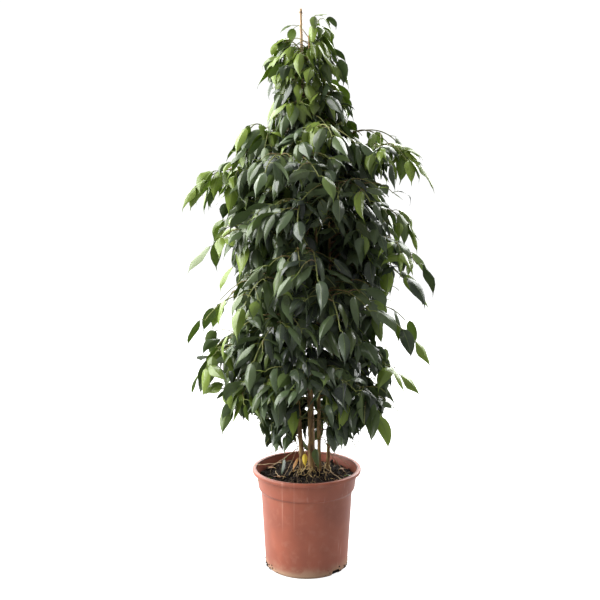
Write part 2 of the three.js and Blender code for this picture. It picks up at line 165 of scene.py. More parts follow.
@dataclass
class Shell:
    """A closed surface as arrays.

    seam gives each point the number of the sharp line that it lies on, or 0. values holds one
    number a point, and face_values one number a face, for the materials.
    """

    points: Array
    quads: Array
    tris: Array
    seam: Array | None = None
    uv: Array | None = None
    values: dict[str, Array] = field(default_factory=dict)
    face_values: dict[str, Array] = field(default_factory=dict)


def join_shells(shells: list[Shell]) -> Shell:
    """One shell that holds all the given ones.

    Args:
        shells: Shells without seams or maps, which carry the same values.

    Returns:
        The shell.
    """
    starts = np.cumsum([0] + [len(shell.points) for shell in shells[:-1]])
    return Shell(
        points=np.concatenate([shell.points for shell in shells]),
        quads=np.concatenate([shell.quads + start for shell, start in zip(shells, starts)]),
        tris=np.concatenate([shell.tris + start for shell, start in zip(shells, starts)]),
        values={key: np.concatenate([shell.values[key] for shell in shells]) for key in shells[0].values},
    )


def piece_from(name: str, shell: Shell, material: Material) -> Object:
    """A mesh object of a shell, with its place in its mesh.

    Args:
        name: The piece's name.
        shell: Its surface.
        material: Its finish.

    Returns:
        The object, at the origin, unturned and unscaled.
    """
    mesh = bpy.data.meshes.new(name)
    corners = np.concatenate([shell.quads.ravel(), shell.tris.ravel()]).astype(np.int32)
    sizes = np.repeat([4, 3], [len(shell.quads), len(shell.tris)])
    mesh.vertices.add(len(shell.points))
    mesh.vertices.foreach_set("co", shell.points.astype(np.float32).ravel())
    mesh.loops.add(len(corners))
    mesh.loops.foreach_set("vertex_index", corners)
    mesh.polygons.add(len(sizes))
    mesh.polygons.foreach_set("loop_start", np.concatenate([[0], np.cumsum(sizes[:-1])]).astype(np.int32))
    mesh.update(calc_edges=True)
    mesh.polygons.foreach_set("use_smooth", np.ones(len(sizes), bool))
    if shell.seam is not None:
        ends = np.zeros(len(mesh.edges) * 2, np.int32)
        mesh.edges.foreach_get("vertices", ends)
        one, other = shell.seam[ends.reshape(-1, 2)].T
        sharp = (one > 0) & (other > 0) & ((one == other) | (one == ANY_SEAM) | (other == ANY_SEAM))
        mesh.attributes.new("sharp_edge", "BOOLEAN", "EDGE").data.foreach_set("value", sharp)
    if shell.uv is not None:
        layer = mesh.uv_layers.new(name="surface")
        layer.data.foreach_set("uv", shell.uv[corners].astype(np.float32).ravel())
    for domain, held in (("POINT", shell.values), ("FACE", shell.face_values)):
        for key, numbers in held.items():
            mesh.attributes.new(key, "FLOAT", domain).data.foreach_set("value", numbers.astype(np.float32))
    mesh.materials.append(material)
    piece = bpy.data.objects.new(name, mesh)
    bpy.context.scene.collection.objects.link(piece)
    return piece


def settle(piece: Object, nodes: tuple[str, ...] = ()) -> None:
    """Puts a piece on the part's body, hides the CAD nodes that it stands for, validates its mesh and logs
    it.

    Args:
        piece: The piece.
        nodes: The CAD nodes that it stands for.
    """
    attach(piece, "root")
    if nodes:
        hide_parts(*nodes)
    piece.data.validate()
    LOG.info("%s: %d faces", piece.name, len(piece.data.polygons))


def ring_faces(rings: int, sides: int) -> tuple[Array, Array, Array]:
    """The faces of a closed tube of rings of points.

    Args:
        rings: How many rings there are.
        sides: Points round each.

    Returns:
        The quads between the rings, then the fans that close the foot and the top. Their middle
        points are the first and the second after the rings' own.
    """
    side = np.arange(sides)
    after = (side + 1) % sides
    start = np.arange(rings - 1)[:, None] * sides
    quads = np.stack([start + side, start + after, start + sides + after, start + sides + side], -1)
    last = (rings - 1) * sides
    foot = np.stack([np.full(sides, rings * sides), after, side], -1)
    top = np.stack([np.full(sides, rings * sides + 1), last + side, last + after], -1)
    return quads.reshape(-1, 4), foot, top


def lathe(profile: Array, sides: int) -> Shell:
    """A profile turned about the Z axis.

    Args:
        profile: Rows of (radius, height). The first and last radius are 0, and close the poles.
        sides: Faces round the axis.

    Returns:
        The closed surface, facing outwards where the profile runs up its outside.
    """
    rings = profile[1:-1]
    ways = heading(np.arange(sides) * TURN / sides)
    points = rings[:, None, :1] * ways[None] + rings[:, None, 1:] * UP
    points = np.concatenate([points.reshape(-1, 3), UP[None] * profile[0, 1], UP[None] * profile[-1, 1]])
    quads, foot, top = ring_faces(len(rings), sides)
    return Shell(points, quads, np.concatenate([foot, top]))


def tubes(paths: Array, radii: Array, sides: int, hints: Array) -> Shell:
    """Round tubes carried along paths, with pointed ends.

    A ring's point is centre + radius * (cos(a) * across + sin(a) * over), where over is square to
    the path and to the hint, and across is square to both.

    Args:
        paths: Centre lines, shaped (tubes, sections, 3).
        radii: Radii, shaped (tubes, sections), or (tubes, sections, sides) for uneven rings.
        sides: Faces round each tube.
        hints: A direction for each tube that its path never runs along, shaped (tubes, 3).

    Returns:
        The closed surfaces, with "along" from 0 to 1 on each.
    """
    count, sections = paths.shape[:2]
    ways = unit(np.gradient(paths, axis=1))
    over = unit(np.cross(ways, hints[:, None]))
    across = np.cross(over, ways)
    angles = np.arange(sides) * TURN / sides
    rings = np.cos(angles)[:, None] * across[:, :, None] + np.sin(angles)[:, None] * over[:, :, None]
    size = radii if radii.ndim == 3 else radii[:, :, None]
    body = paths[:, :, None] + rings * size[..., None]
    ends = np.stack([
        paths[:, 0] - ways[:, 0] * size[:, 0].mean(-1)[:, None] * FOOT_POINT,
        paths[:, -1] + ways[:, -1] * size[:, -1].mean(-1)[:, None] * TIP_POINT,
    ], 1)
    points = np.concatenate([body.reshape(count, -1, 3), ends], 1)
    quads, foot, top = ring_faces(sections, sides)
    step = np.arange(count)[:, None, None] * (sections * sides + 2)
    along = np.append(np.repeat(np.linspace(0, 1, sections), sides), [0.0, 1.0])
    return Shell(
        points.reshape(-1, 3),
        (quads + step).reshape(-1, 4),
        (np.concatenate([foot, top]) + step).reshape(-1, 3),
        values={"along": np.tile(along, count)},
    )


# Node sheets: materials and shared effects


GRAIN_RANGE = (0.2, 0.8)
GRAIN_FINER = 6.0
RIB_TAPER, RIB_CORE = (1.6, 0.9), 0.4
VEIN_SLANT, VEIN_CREST, VEIN_FADE = 3.4, 0.55, (0.3, 0.47)


class Sheet:
    """A node tree being laid out."""

    def __init__(self, tree: Tree) -> None:
        """Starts on a tree."""
        self.tree = tree

    def feed(self, source: Source, socket: Socket) -> None:
        """Links an output to a socket, or sets the socket to a plain value.

        Args:
            source: The output or the value.
            socket: Where it goes.
        """
        if isinstance(source, Socket):
            self.tree.links.new(source, socket)
        else:
            socket.default_value = source

    def node(self, kind: str, inputs: dict[str | int, Source], **settings: object) -> Sockets:
        """Adds a node.

        Args:
            kind: Its type.
            inputs: What goes into its sockets, by their names or numbers.
            settings: Its own settings.

        Returns:
            Its outputs.
        """
        node = self.tree.nodes.new(kind)
        for key, value in settings.items():
            setattr(node, key, value)
        for key, source in inputs.items():
            self.feed(source, node.inputs[key])
        return node.outputs

    def math(self, operation: str, one: Source, other: Source = 0.0) -> Socket:
        """The result of an operation on two numbers."""
        return self.node("ShaderNodeMath", {0: one, 1: other}, operation=operation)[0]

    def times(self, one: Source, other: Source) -> Socket:
        """The product of two numbers."""
        return self.math("MULTIPLY", one, other)

    def plus(self, one: Source, other: Source) -> Socket:
        """The sum of two numbers."""
        return self.math("ADD", one, other)

    def less(self, one: Source, other: Source) -> Socket:
        """One number less the other."""
        return self.math("SUBTRACT", one, other)

    def mix(self, share: Source, one: Source, other: Source) -> Socket:
        """A share of the way from one colour to the other."""
        return self.node("ShaderNodeMix", {0: share, 6: one, 7: other}, data_type="RGBA")[2]

    def step(self, value: Source, low: Source, high: Source, to: Range = (0, 1)) -> Socket:
        """A value mapped smoothly from the range low..high to the range given."""
        inputs = {"Value": value, "From Min": low, "From Max": high, "To Min": to[0], "To Max": to[1]}
        return self.node("ShaderNodeMapRange", inputs, interpolation_type="SMOOTHSTEP")["Result"]

    def spread(self, grain: Socket, low: float, high: float) -> Socket:
        """A number that wanders from low to high with the grain."""
        return self.step(grain, *GRAIN_RANGE, (low, high))

    def noise(self, vector: Source, scale: Source, detail: float = 3.0, rough: float = 0.55) -> Socket:
        """Smooth noise from 0 to 1 at a scale."""
        inputs = {"Vector": vector, "Scale": scale, "Detail": detail, "Roughness": rough}
        return self.node("ShaderNodeTexNoise", inputs)["Fac"]

    def place(self) -> Socket:
        """The place on the object, in metres."""
        return self.node("ShaderNodeTexCoord", {})["Object"]

    def axes(self, place: Socket | None = None) -> Sockets:
        """The three numbers of a place, which is the place on the object unless another is given."""
        return self.node("ShaderNodeSeparateXYZ", {0: place or self.place()})

    def value(self, name: str) -> Socket:
        """A number held by the mesh."""
        return self.node("ShaderNodeAttribute", {}, attribute_name=name)["Fac"]

    def group(self, tree: Tree, **inputs: Source) -> Sockets:
        """Places a shared effect with its own values, and gives its outputs."""
        return self.node("ShaderNodeGroup", inputs, node_tree=tree)

    def bump(self, height: Source, strength: float, distance: float) -> Socket:
        """A normal tipped by a height."""
        inputs = {"Height": height, "Strength": strength, "Distance": distance}
        return self.node("ShaderNodeBump", inputs)["Normal"]

    def principled(self, colour: Source, roughness: Source, normal: Socket | None, level: float) -> Socket:
        """A Principled shader, with a plain number for its specular level.

        Args:
            colour: Its base colour.
            roughness: Its roughness.
            normal: Its tipped normal, or None.
            level: Its specular level.

        Returns:
            The shader.
        """
        inputs = {"Base Color": colour, "Roughness": roughness, "Specular IOR Level": level}
        if normal:
            inputs["Normal"] = normal
        return self.node("ShaderNodeBsdfPrincipled", inputs)["BSDF"]

    def blend(self, share: Source, one: Socket, other: Socket) -> Socket:
        """A share of the way from one shader to the other."""
        return self.node("ShaderNodeMixShader", {0: share, 1: one, 2: other})[0]

    def finish(self, shader: Socket) -> None:
        """Joins the last shader to the material's output."""
        self.node("ShaderNodeOutputMaterial", {"Surface": shader})


def material_sheet(name: str) -> tuple[Material, Sheet]:
    """A new material with an empty node tree, and its sheet.

    Args:
        name: The material's name.

    Returns:
        The material and its sheet.
    """
    material = bpy.data.materials.new(name)
    material.use_nodes = True
    material.node_tree.nodes.clear()
    return material, Sheet(material.node_tree)


def group_sheet(name: str, inputs: dict[str, float], outputs: tuple[str, ...]) -> tuple:
    """A new shared effect whose inputs are numbers.

    Args:
        name: The effect's name.
        inputs: Names and usual values of its inputs.
        outputs: Names of its outputs, all numbers.

    Returns:
        The tree, its sheet, the sockets that give the inputs, and those that take the outputs.
    """
    tree = bpy.data.node_groups.new(name, "ShaderNodeTree")
    number = "NodeSocketFloat"
    for key, usual in inputs.items():
        tree.interface.new_socket(name=key, in_out="INPUT", socket_type=number).default_value = usual
    for key in outputs:
        tree.interface.new_socket(name=key, in_out="OUTPUT", socket_type=number)
    sheet = Sheet(tree)
    return tree, sheet, sheet.node("NodeGroupInput", {}), tree.nodes.new("NodeGroupOutput").inputs


@cache
def mottling() -> Tree:
    """Soft patches: noise stretched along Z by an amount. Patch runs from 0 to 1, Grain is finer."""
    tree, sheet, given, made = group_sheet(
        "mottling", {"Scale": 20, "Upright": 1, "Low": 0.35, "High": 0.65}, ("Patch", "Grain")
    )
    x, y, z = sheet.axes()
    lower = sheet.math("DIVIDE", z, given["Upright"])
    place = sheet.node("ShaderNodeCombineXYZ", {0: x, 1: y, 2: lower})[0]
    noise = sheet.noise(place, given["Scale"])
    sheet.feed(sheet.step(noise, given["Low"], given["High"]), made["Patch"])
    fine = sheet.times(given["Scale"], GRAIN_FINER)
    sheet.feed(sheet.noise(place, fine, 2.0), made["Grain"])
    return tree


@cache
def soiling() -> Tree:
    """Dust and soil that gather low on a piece: full below Foot, gone above Top, broken up by noise."""
    tree, sheet, given, made = group_sheet("soiling", {"Foot": 0, "Top": 0.02, "Scale": 60}, ("Soil",))
    low = sheet.step(sheet.axes()[2], given["Foot"], given["Top"], (1, 0))
    noise = sheet.noise(sheet.place(), given["Scale"], 4.0, 0.7)
    broken = sheet.times(low, sheet.step(noise, 0.3, 0.62))
    sheet.feed(sheet.math("MAXIMUM", broken, sheet.math("POWER", low, 3.0)), made["Soil"])
    return tree


@cache
def leaf_veins() -> Tree:
    """A leaf's pattern from its surface map: the midrib, and fine side veins that slant to the tip.

    Across the map the midrib lies at 0.5, and along it the blade runs from 0 to 1 and the stalk
    lies below 0. Veins are thin crests of a sine of (along * Count - distance from the rib * slant).
    """
    tree, sheet, given, made = group_sheet(
        "leaf_veins", {"Count": 13, "Width": 0.03}, ("Rib", "Vein", "Stalk")
    )
    across, along, _ = sheet.axes(sheet.node("ShaderNodeUVMap", {}, uv_map="surface")["UV"])
    off = sheet.math("ABSOLUTE", sheet.less(across, 0.5))
    width = sheet.times(given["Width"], sheet.step(along, 0.0, 1.0, RIB_TAPER))
    sheet.feed(sheet.step(off, sheet.times(width, RIB_CORE), width, (1, 0)), made["Rib"])
    slanted = sheet.less(sheet.times(along, given["Count"]), sheet.times(off, VEIN_SLANT))
    crest = sheet.step(sheet.math("SINE", sheet.times(slanted, TURN)), VEIN_CREST, 1.0)
    sheet.feed(sheet.times(crest, sheet.step(off, *VEIN_FADE, (1, 0.15))), made["Vein"])
    sheet.feed(sheet.step(along, -0.02, 0.03, (1, 0)), made["Stalk"])
    return tree


# Finishes


@dataclass(frozen=True)
class LeafFinish:
    """Leaf: glossy above and paler below, from dark when old to lime when young."""

    name: str
    old: Colour = (0.038, 0.047, 0.043, 1)
    grown: Colour = (0.114, 0.164, 0.076, 1)
    fresh: Colour = (0.250, 0.345, 0.056, 1)
    below: Colour = (0.100, 0.140, 0.060, 1)
    rib: Colour = (0.16, 0.21, 0.07, 1)
    stalk: Colour = (0.22, 0.26, 0.06, 1)
    patch_scale: float = 38.0
    patch_share: float = 0.25
    rib_strength: float = 0.5
    vein_strength: float = 0.1
    paler_below: Range = (0.85, 0.3)
    see_through: float = 0.36
    fresh_light: Range = (0.22, 0.85)
    gloss_roughness: float = 0.25
    dull_below: float = 0.24
    relief: float = 0.4 * MM

    def build(self) -> Material:
        """Makes the material: patches and veins in the colour, and some light through the blade."""
        material, sheet = material_sheet(self.name)
        rib, vein, stalk = sheet.group(leaf_veins())
        patch, grain = sheet.group(mottling(), Scale=self.patch_scale)
        age, tint, under = sheet.value("age"), sheet.value("tint"), sheet.value("underside")
        # The leaf's tone holds painted light and shade as well as its own tone, and its age some painted
        # light
        depth = sheet.plus(sheet.times(tint, 1 - self.patch_share), sheet.times(patch, self.patch_share))
        blade = sheet.mix(sheet.step(age, 0.0, 1.0), sheet.mix(depth, self.old, self.grown), self.fresh)
        lines = sheet.plus(sheet.times(rib, self.rib_strength), sheet.times(vein, self.vein_strength))
        above = sheet.mix(lines, blade, self.rib)
        beneath = sheet.mix(sheet.step(age, 0.0, 1.0, self.paler_below), above, self.below)
        colour = sheet.mix(stalk, sheet.mix(under, above, beneath), self.stalk)
        gloss = sheet.spread(grain, self.gloss_roughness - 0.02, self.gloss_roughness + 0.03)
        roughness = sheet.plus(sheet.times(under, self.dull_below), gloss)
        relief = sheet.less(sheet.times(patch, 0.5), sheet.times(vein, 0.25))
        normal = sheet.bump(relief, 0.05, self.relief)
        face = sheet.principled(colour, roughness, normal, 0.52)
        lit = sheet.mix(sheet.step(age, 0.0, 0.7, self.fresh_light), colour, self.fresh)
        through = sheet.node("ShaderNodeBsdfTranslucent", {"Color": lit})[0]
        sheet.finish(sheet.blend(self.see_through, face, through))
        return material


@dataclass(frozen=True)
class WoodFinish:
    """Bark: upright streaks in two browns, pale specks, and soil at its foot."""

    name: str
    light: Colour
    dark: Colour
    green: Colour = (0.16, 0.20, 0.05, 1)
    speck: Colour = (0.55, 0.42, 0.26, 1)
    soil: Colour = (0.028, 0.018, 0.011, 1)
    greening: float = 0.0
    scale: float = 160.0
    upright: float = 5.0
    speck_strength: float = 0.5
    soil_foot: float = 0.176
    soil_top: float = 0.205
    roughness: float = 0.72
    relief: float = 0.5 * MM

    def build(self) -> Material:
        """Makes the material. Young wood, where "along" nears 1, turns green by the greening's share."""
        material, sheet = material_sheet(self.name)
        streak, grain = sheet.group(mottling(), Scale=self.scale, Upright=self.upright)
        specks = sheet.step(sheet.noise(sheet.place(), self.scale * 3, 2.0), 0.66, 0.74)
        young = sheet.times(sheet.step(sheet.value("along"), 0.1, 0.9), self.greening)
        soiled = sheet.group(soiling(), Foot=self.soil_foot, Top=self.soil_top, Scale=120.0)[0]
        colour = sheet.mix(streak, self.dark, self.light)
        colour = sheet.mix(sheet.times(specks, self.speck_strength), colour, self.speck)
        colour = sheet.mix(young, colour, self.green)
        colour = sheet.mix(soiled, colour, self.soil)
        normal = sheet.bump(sheet.plus(streak, sheet.times(grain, 0.5)), 0.6, self.relief)
        roughness = sheet.spread(grain, self.roughness - 0.1, self.roughness + 0.1)
        sheet.finish(sheet.principled(colour, roughness, normal, 0.35))
        return material


@dataclass(frozen=True)
class BambooFinish:
    """Bamboo: honey-tan with fine upright fibres and a dark line at each joint."""

    name: str
    light: Colour = (0.62, 0.44, 0.27, 1)
    dark: Colour = (0.47, 0.31, 0.17, 1)
    joint: Colour = (0.13, 0.075, 0.04, 1)
    foot: float = 0.014
    spacing: float = 0.148
    line: float = 1.6 * MM
    blotch_strength: float = 0.45
    roughness: Range = (0.36, 0.52)
    relief: float = 0.2 * MM

    def build(self) -> Material:
        """Makes the material. The joints repeat up the cane, at a spacing from its foot."""
        material, sheet = material_sheet(self.name)
        fibres, _ = sheet.group(mottling(), Scale=420.0, Upright=30.0, Low=0.3, High=0.7)
        blotch, grain = sheet.group(mottling(), Scale=45.0, Upright=2.0)
        risen = sheet.less(sheet.axes()[2], self.foot - self.spacing / 2)
        off = sheet.less(sheet.math("MODULO", risen, self.spacing), self.spacing / 2)
        ring = sheet.step(sheet.math("ABSOLUTE", off), self.line * 0.4, self.line, (1, 0))
        colour = sheet.mix(fibres, self.dark, self.light)
        colour = sheet.mix(sheet.times(blotch, self.blotch_strength), colour, self.light)
        colour = sheet.mix(ring, colour, self.joint)
        normal = sheet.bump(fibres, 0.4, self.relief)
        sheet.finish(sheet.principled(colour, sheet.spread(grain, *self.roughness), normal, 0.5))
        return material


@dataclass(frozen=True)
class PlasticFinish:
    """Terracotta-coloured plastic: fine grain, pale upright scuffs, haze, a dusty foot, and painted shade on
    the collar's inner face and inner lip.
    """

    name: str
    base: Colour = (0.31, 0.090, 0.052, 1)
    deep: Colour = (0.235, 0.070, 0.042, 1)
    haze: Colour = (0.42, 0.20, 0.14, 1)
    scuff: Colour = (0.74, 0.48, 0.38, 1)
    dust: Colour = (0.42, 0.29, 0.19, 1)
    # Painted shade colour for the inside of the collar and the inner lip
    grime: Colour = (0.085, 0.038, 0.026, 1)
    haze_strength: float = 0.25
    scuff_strength: float = 0.5
    dust_strength: float = 0.75
    grime_strength: Range = (0.6, 0.95)
    scratches: tuple[float, ...] = (-0.046, -0.024)
    scratch_width: Range = (0.2 * MM, 0.9 * MM)
    scratch_rise: Range = (0.075, 0.15)
    foot: float = 0.004
    dust_top: float = 0.030
    collar_slope: float = 0.1026
    collar_inner: float = 0.0756
    collar_rise: Range = (0.156, 0.162)
    lip_inner: float = 0.0785
    lip_rise: Range = (0.189, 0.1935)
    roughness: Range = (0.40, 0.52)
    relief: float = 0.25 * MM

    def build(self) -> Material:
        """Makes the material. The scuffs are thin streaks, only where a wide patch lets them show."""
        material, sheet = material_sheet(self.name)
        clouds, cloud_grain = sheet.group(mottling(), Scale=16.0, Upright=1.4, Low=0.3, High=0.7)
        streaks, _ = sheet.group(mottling(), Scale=210.0, Upright=90.0, Low=0.63, High=0.72)
        wide, _ = sheet.group(mottling(), Scale=11.0, Upright=2.5, Low=0.46, High=0.62)
        worn, worn_grain = sheet.group(mottling(), Scale=60.0, Low=0.5, High=0.8)
        scuffed = sheet.times(streaks, sheet.times(wide, 0.4))
        for x in self.scratches:
            scuffed = sheet.math("MAXIMUM", scuffed, self.scratch(sheet, x))
        dusty = sheet.group(soiling(), Foot=self.foot, Top=self.dust_top, Scale=42.0)[0]
        dirt = sheet.times(dusty, self.dust_strength)
        # Painted shade: the collar's inner face and the inner lip are darkened, broken up a little by the
        # grain
        shaded_inside = sheet.times(self.inside(sheet), sheet.step(cloud_grain, 0.2, 0.7, self.grime_strength))
        colour = sheet.mix(clouds, self.deep, self.base)
        colour = sheet.mix(sheet.times(worn, self.haze_strength), colour, self.haze)
        colour = sheet.mix(sheet.times(scuffed, self.scuff_strength), colour, self.scuff)
        colour = sheet.mix(dirt, colour, self.dust)
        colour = sheet.mix(shaded_inside, colour, self.grime)
        roughness = sheet.plus(sheet.times(dirt, 0.35), sheet.step(worn, 0.0, 1.0, self.roughness))
        normal = sheet.bump(sheet.plus(worn_grain, sheet.times(scuffed, 0.4)), 0.12, self.relief)
        sheet.finish(sheet.principled(colour, roughness, normal, 0.35))
        return material

    def inside(self, sheet: Sheet) -> Socket:
        """Where the painted shade goes: 1 on the collar's inner face, found by the radius less its slope, and
        fading over the lip.

        Args:
            sheet: Where it is laid out.

        Returns:
            How much of it shows, from 0 to 1.
        """
        x, y, z = sheet.axes()
        radius = sheet.math("SQRT", sheet.plus(sheet.times(x, x), sheet.times(y, y)))
        sloped = sheet.less(radius, sheet.times(z, self.collar_slope))
        inner = sheet.step(sloped, self.collar_inner, self.collar_inner + MM, (1, 0))
        wall = sheet.times(inner, sheet.step(z, *self.collar_rise))
        lip = sheet.step(sloped, self.lip_inner, self.lip_inner + 2 * MM, (0.7, 0))
        return sheet.math("MAXIMUM", wall, sheet.times(lip, sheet.step(z, *self.lip_rise)))

    def scratch(self, sheet: Sheet, across: float) -> Socket:
        """One long pale upright scratch on the front, broken up by noise.

        Args:
            sheet: Where it is laid out.
            across: Its place from side to side, in metres.

        Returns:
            How much of it shows, from 0 to 1.
        """
        x, y, z = sheet.axes()
        line = sheet.step(sheet.math("ABSOLUTE", sheet.less(x, across)), *self.scratch_width, (1, 0))
        front = sheet.step(y, -0.03, 0.0, (1, 0))
        gaps, _ = sheet.group(mottling(), Scale=90.0, Upright=6.0, Low=0.3, High=0.6)
        shown = sheet.times(sheet.times(line, front), sheet.step(z, *self.scratch_rise))
        return sheet.times(shown, sheet.plus(0.2, sheet.times(gaps, 0.4)))


@dataclass(frozen=True)
class SoilFinish:
    """Compost: near-black peat with brown crumbs and a few pale fibres."""

    name: str
    dark: Colour = (0.0075, 0.0055, 0.0042, 1)
    brown: Colour = (0.025, 0.0165, 0.012, 1)
    fibre: Colour = (0.075, 0.050, 0.034, 1)
    crumb_strength: float = 0.5
    fleck_strength: float = 0.5
    relief: float = 1.4 * MM
    roughness: float = 0.93

    def build(self) -> Material:
        """Makes the material from patches of two sizes."""
        material, sheet = material_sheet(self.name)
        clods, _ = sheet.group(mottling(), Scale=70.0, Low=0.35, High=0.7)
        crumbs, grain = sheet.group(mottling(), Scale=260.0, Low=0.4, High=0.75)
        flecks = sheet.step(grain, 0.68, 0.74)
        colour = sheet.mix(clods, self.dark, self.brown)
        colour = sheet.mix(sheet.times(crumbs, self.crumb_strength), colour, self.brown)
        colour = sheet.mix(sheet.times(flecks, self.fleck_strength), colour, self.fibre)
        normal = sheet.bump(sheet.plus(crumbs, sheet.times(grain, 0.6)), 0.9, self.relief)
        sheet.finish(sheet.principled(colour, self.roughness, normal, 0.2))
        return material


# Pot and soil


@dataclass
class Pot:
    """The nursery pot: a thin turned wall with a rolled lip, a collar, a step and drain slots."""

    height: float = 195 * MM
    rim_radius: float = 105 * MM
    lip_height: float = 8 * MM
    lip_round: float = 2.6 * MM
    collar_top: float = 97 * MM
    collar_foot: float = 93 * MM
    collar_foot_z: float = 156 * MM
    step_height: float = 4 * MM
    body_top: float = 88 * MM
    base_radius: float = 80 * MM
    base_bevel: float = 3 * MM
    wall: float = 1.6 * MM
    floor: float = 2.4 * MM
    drains: int = 3
    drain_width: float = 19 * MM
    drain_height: float = 10 * MM
    drain_depth: float = 14 * MM
    drain_round: float = 3 * MM
    first_drain: float = math.radians(-46)
    longest_stretch: float = 9 * MM
    sides: int = 192

    @property
    def step_z(self) -> float:
        """The height of the step's foot."""
        return self.collar_foot_z - self.step_height

    @property
    def foot_radius(self) -> float:
        """The radius inside the base's bevel."""
        return self.base_radius - self.base_bevel

    def outside(self, z: Number) -> Number:
        """The outer radius at heights, below the lip.

        Args:
            z: The heights.

        Returns:
            The radii there.
        """
        knots = [0, self.base_bevel, self.step_z, self.collar_foot_z, self.height]
        radii = [self.foot_radius, self.base_radius, self.body_top, self.collar_foot, self.collar_top]
        return np.interp(z, knots, radii)

    def profile(self) -> Array:
        """The wall's section, up its outside and down its inside, with rounded corners."""
        top, lip = self.height, self.height - self.lip_height
        corners = [
            (0, 0, 0),
            (self.foot_radius, 0, 2.5 * MM),
            (self.base_radius, self.base_bevel + 0.8 * MM, 2.5 * MM),
            (self.body_top, self.step_z, 3.0 * MM),
            (self.collar_foot, self.collar_foot_z, 2.4 * MM),
            (self.collar_top, lip, 0.8 * MM),
            (self.rim_radius - 0.6 * MM, lip + 0.6 * MM, 1.2 * MM),
            (self.rim_radius, top - 0.2 * MM, self.lip_round),
            (self.collar_top + 0.3 * MM, top, 1.2 * MM),
            (self.collar_foot - self.wall, self.collar_foot_z + 1 * MM, 1.0 * MM),
            (self.body_top - self.wall, self.step_z, 1.0 * MM),
            (self.base_radius - self.wall, self.floor, 1.0 * MM),
            (0, self.floor, 0),
        ]
        return rounded(corners, 5)

    def build(self, material: Material) -> Object:
        """Turns the wall, lets it give a little, and cuts the slots out of its foot.

        Args:
            material: Its finish.

        Returns:
            The piece.
        """
        shell = lathe(split_long(self.profile(), self.longest_stretch), self.sides)
        spots = shell.points
        angle = np.arctan2(spots[:, 1], spots[:, 0])
        waves = np.sin(2 * angle + 0.7) * 0.35 + np.sin(3 * angle + 2) * 0.2
        give = smooth(0.02, 0.12, spots[:, 2]) * waves * MM
        spots[:, :2] *= (1 + give / 0.09)[:, None]
        pot = piece_from("pot_wall", shell, material)
        for number in range(self.drains):
            cut_slot(pot, self.slot_cutter(number))
        pot.data.set_sharp_from_angle(angle=math.radians(38))
        return pot

    def slot_cutter(self, number: int) -> Object:
        """A block with rounded upper corners that cuts one drain slot.

        Args:
            number: Which slot, counted round from the first.

        Returns:
            The block.
        """
        half, tall, deep, bend = self.drain_width / 2, self.drain_height, self.drain_depth, self.drain_round
        arch = rounded([(-half, -tall, 0), (-half, tall, bend), (half, tall, bend), (half, -tall, 0)], 4)
        way = heading(self.first_drain + number * TURN / self.drains)
        level = np.cross(UP, way)
        inner = (self.base_radius - deep / 2) * way
        rows = [inner + step * way + arch[:, :1] * level + arch[:, 1:] * UP for step in (0, deep)]
        count = len(arch)
        mesh = bpy.data.meshes.new("slot")
        sides = [[k, k + count, (k + 1) % count + count, (k + 1) % count] for k in range(count)]
        caps = [list(range(count)), list(range(2 * count - 1, count - 1, -1))]
        mesh.from_pydata(np.concatenate(rows).tolist(), [], sides + caps)
        cutter = bpy.data.objects.new("slot", mesh)
        bpy.context.scene.collection.objects.link(cutter)
        return cutter


def rounded(corners: list[Place], steps: int) -> Array:
    """A line through corners, each rounded by its own radius.

    Args:
        corners: Rows of (x, y, radius). A radius of 0 keeps the corner.
        steps: Pieces in each round.

    Returns:
        The line's points: each round is a quadratic curve that starts and ends a radius away.
    """
    line = []
    for number, (x, y, radius) in enumerate(corners):
        here = np.array([x, y])
        if radius == 0:
            line.append(here)
            continue
        before = np.array(corners[number - 1][:2])
        after = np.array(corners[(number + 1) % len(corners)][:2])
        start = here + unit(before - here) * min(radius, np.linalg.norm(before - here) / 2)
        end = here + unit(after - here) * min(radius, np.linalg.norm(after - here) / 2)
        line.extend(quadratic(start, here, end, np.linspace(0, 1, steps)[:, None]))
    return np.array(line)


def quadratic(start: Array, middle: Array, end: Array, share: Array) -> Array:
    """The quadratic curve from start to end that is drawn towards middle, at shares of its way."""
    return (1 - share) ** 2 * start + 2 * share * (1 - share) * middle + share**2 * end


def split_long(profile: Array, longest: float) -> Array:
    """A profile with points added, so that no stretch is too long.

    Args:
        profile: Its points, one row each.
        longest: The longest that a stretch may be.

    Returns:
        The points.
    """
    pieces = [profile[:1]]
    for start, end in zip(profile[:-1], profile[1:]):
        parts = max(1, math.ceil(np.linalg.norm(end - start) / longest))
        pieces.append(between(start, end, np.linspace(0, 1, parts + 1)[1:, None]))
    return np.concatenate(pieces)


def cut_slot(piece: Object, cutter: Object) -> None:
    """Cuts one object out of another for good, and removes the cutter.

    Args:
        piece: What is cut.
        cutter: The block that cuts it.
    """
    cut = piece.modifiers.new("cut", "BOOLEAN")
    cut.operation, cut.object, cut.solver = "DIFFERENCE", cutter, "EXACT"
    graph = bpy.context.evaluated_depsgraph_get()
    made = bpy.data.meshes.new_from_object(piece.evaluated_get(graph))
    piece.modifiers.clear()
    old, piece.data = piece.data, made
    bpy.data.meshes.remove(old)
    bpy.data.objects.remove(cutter)


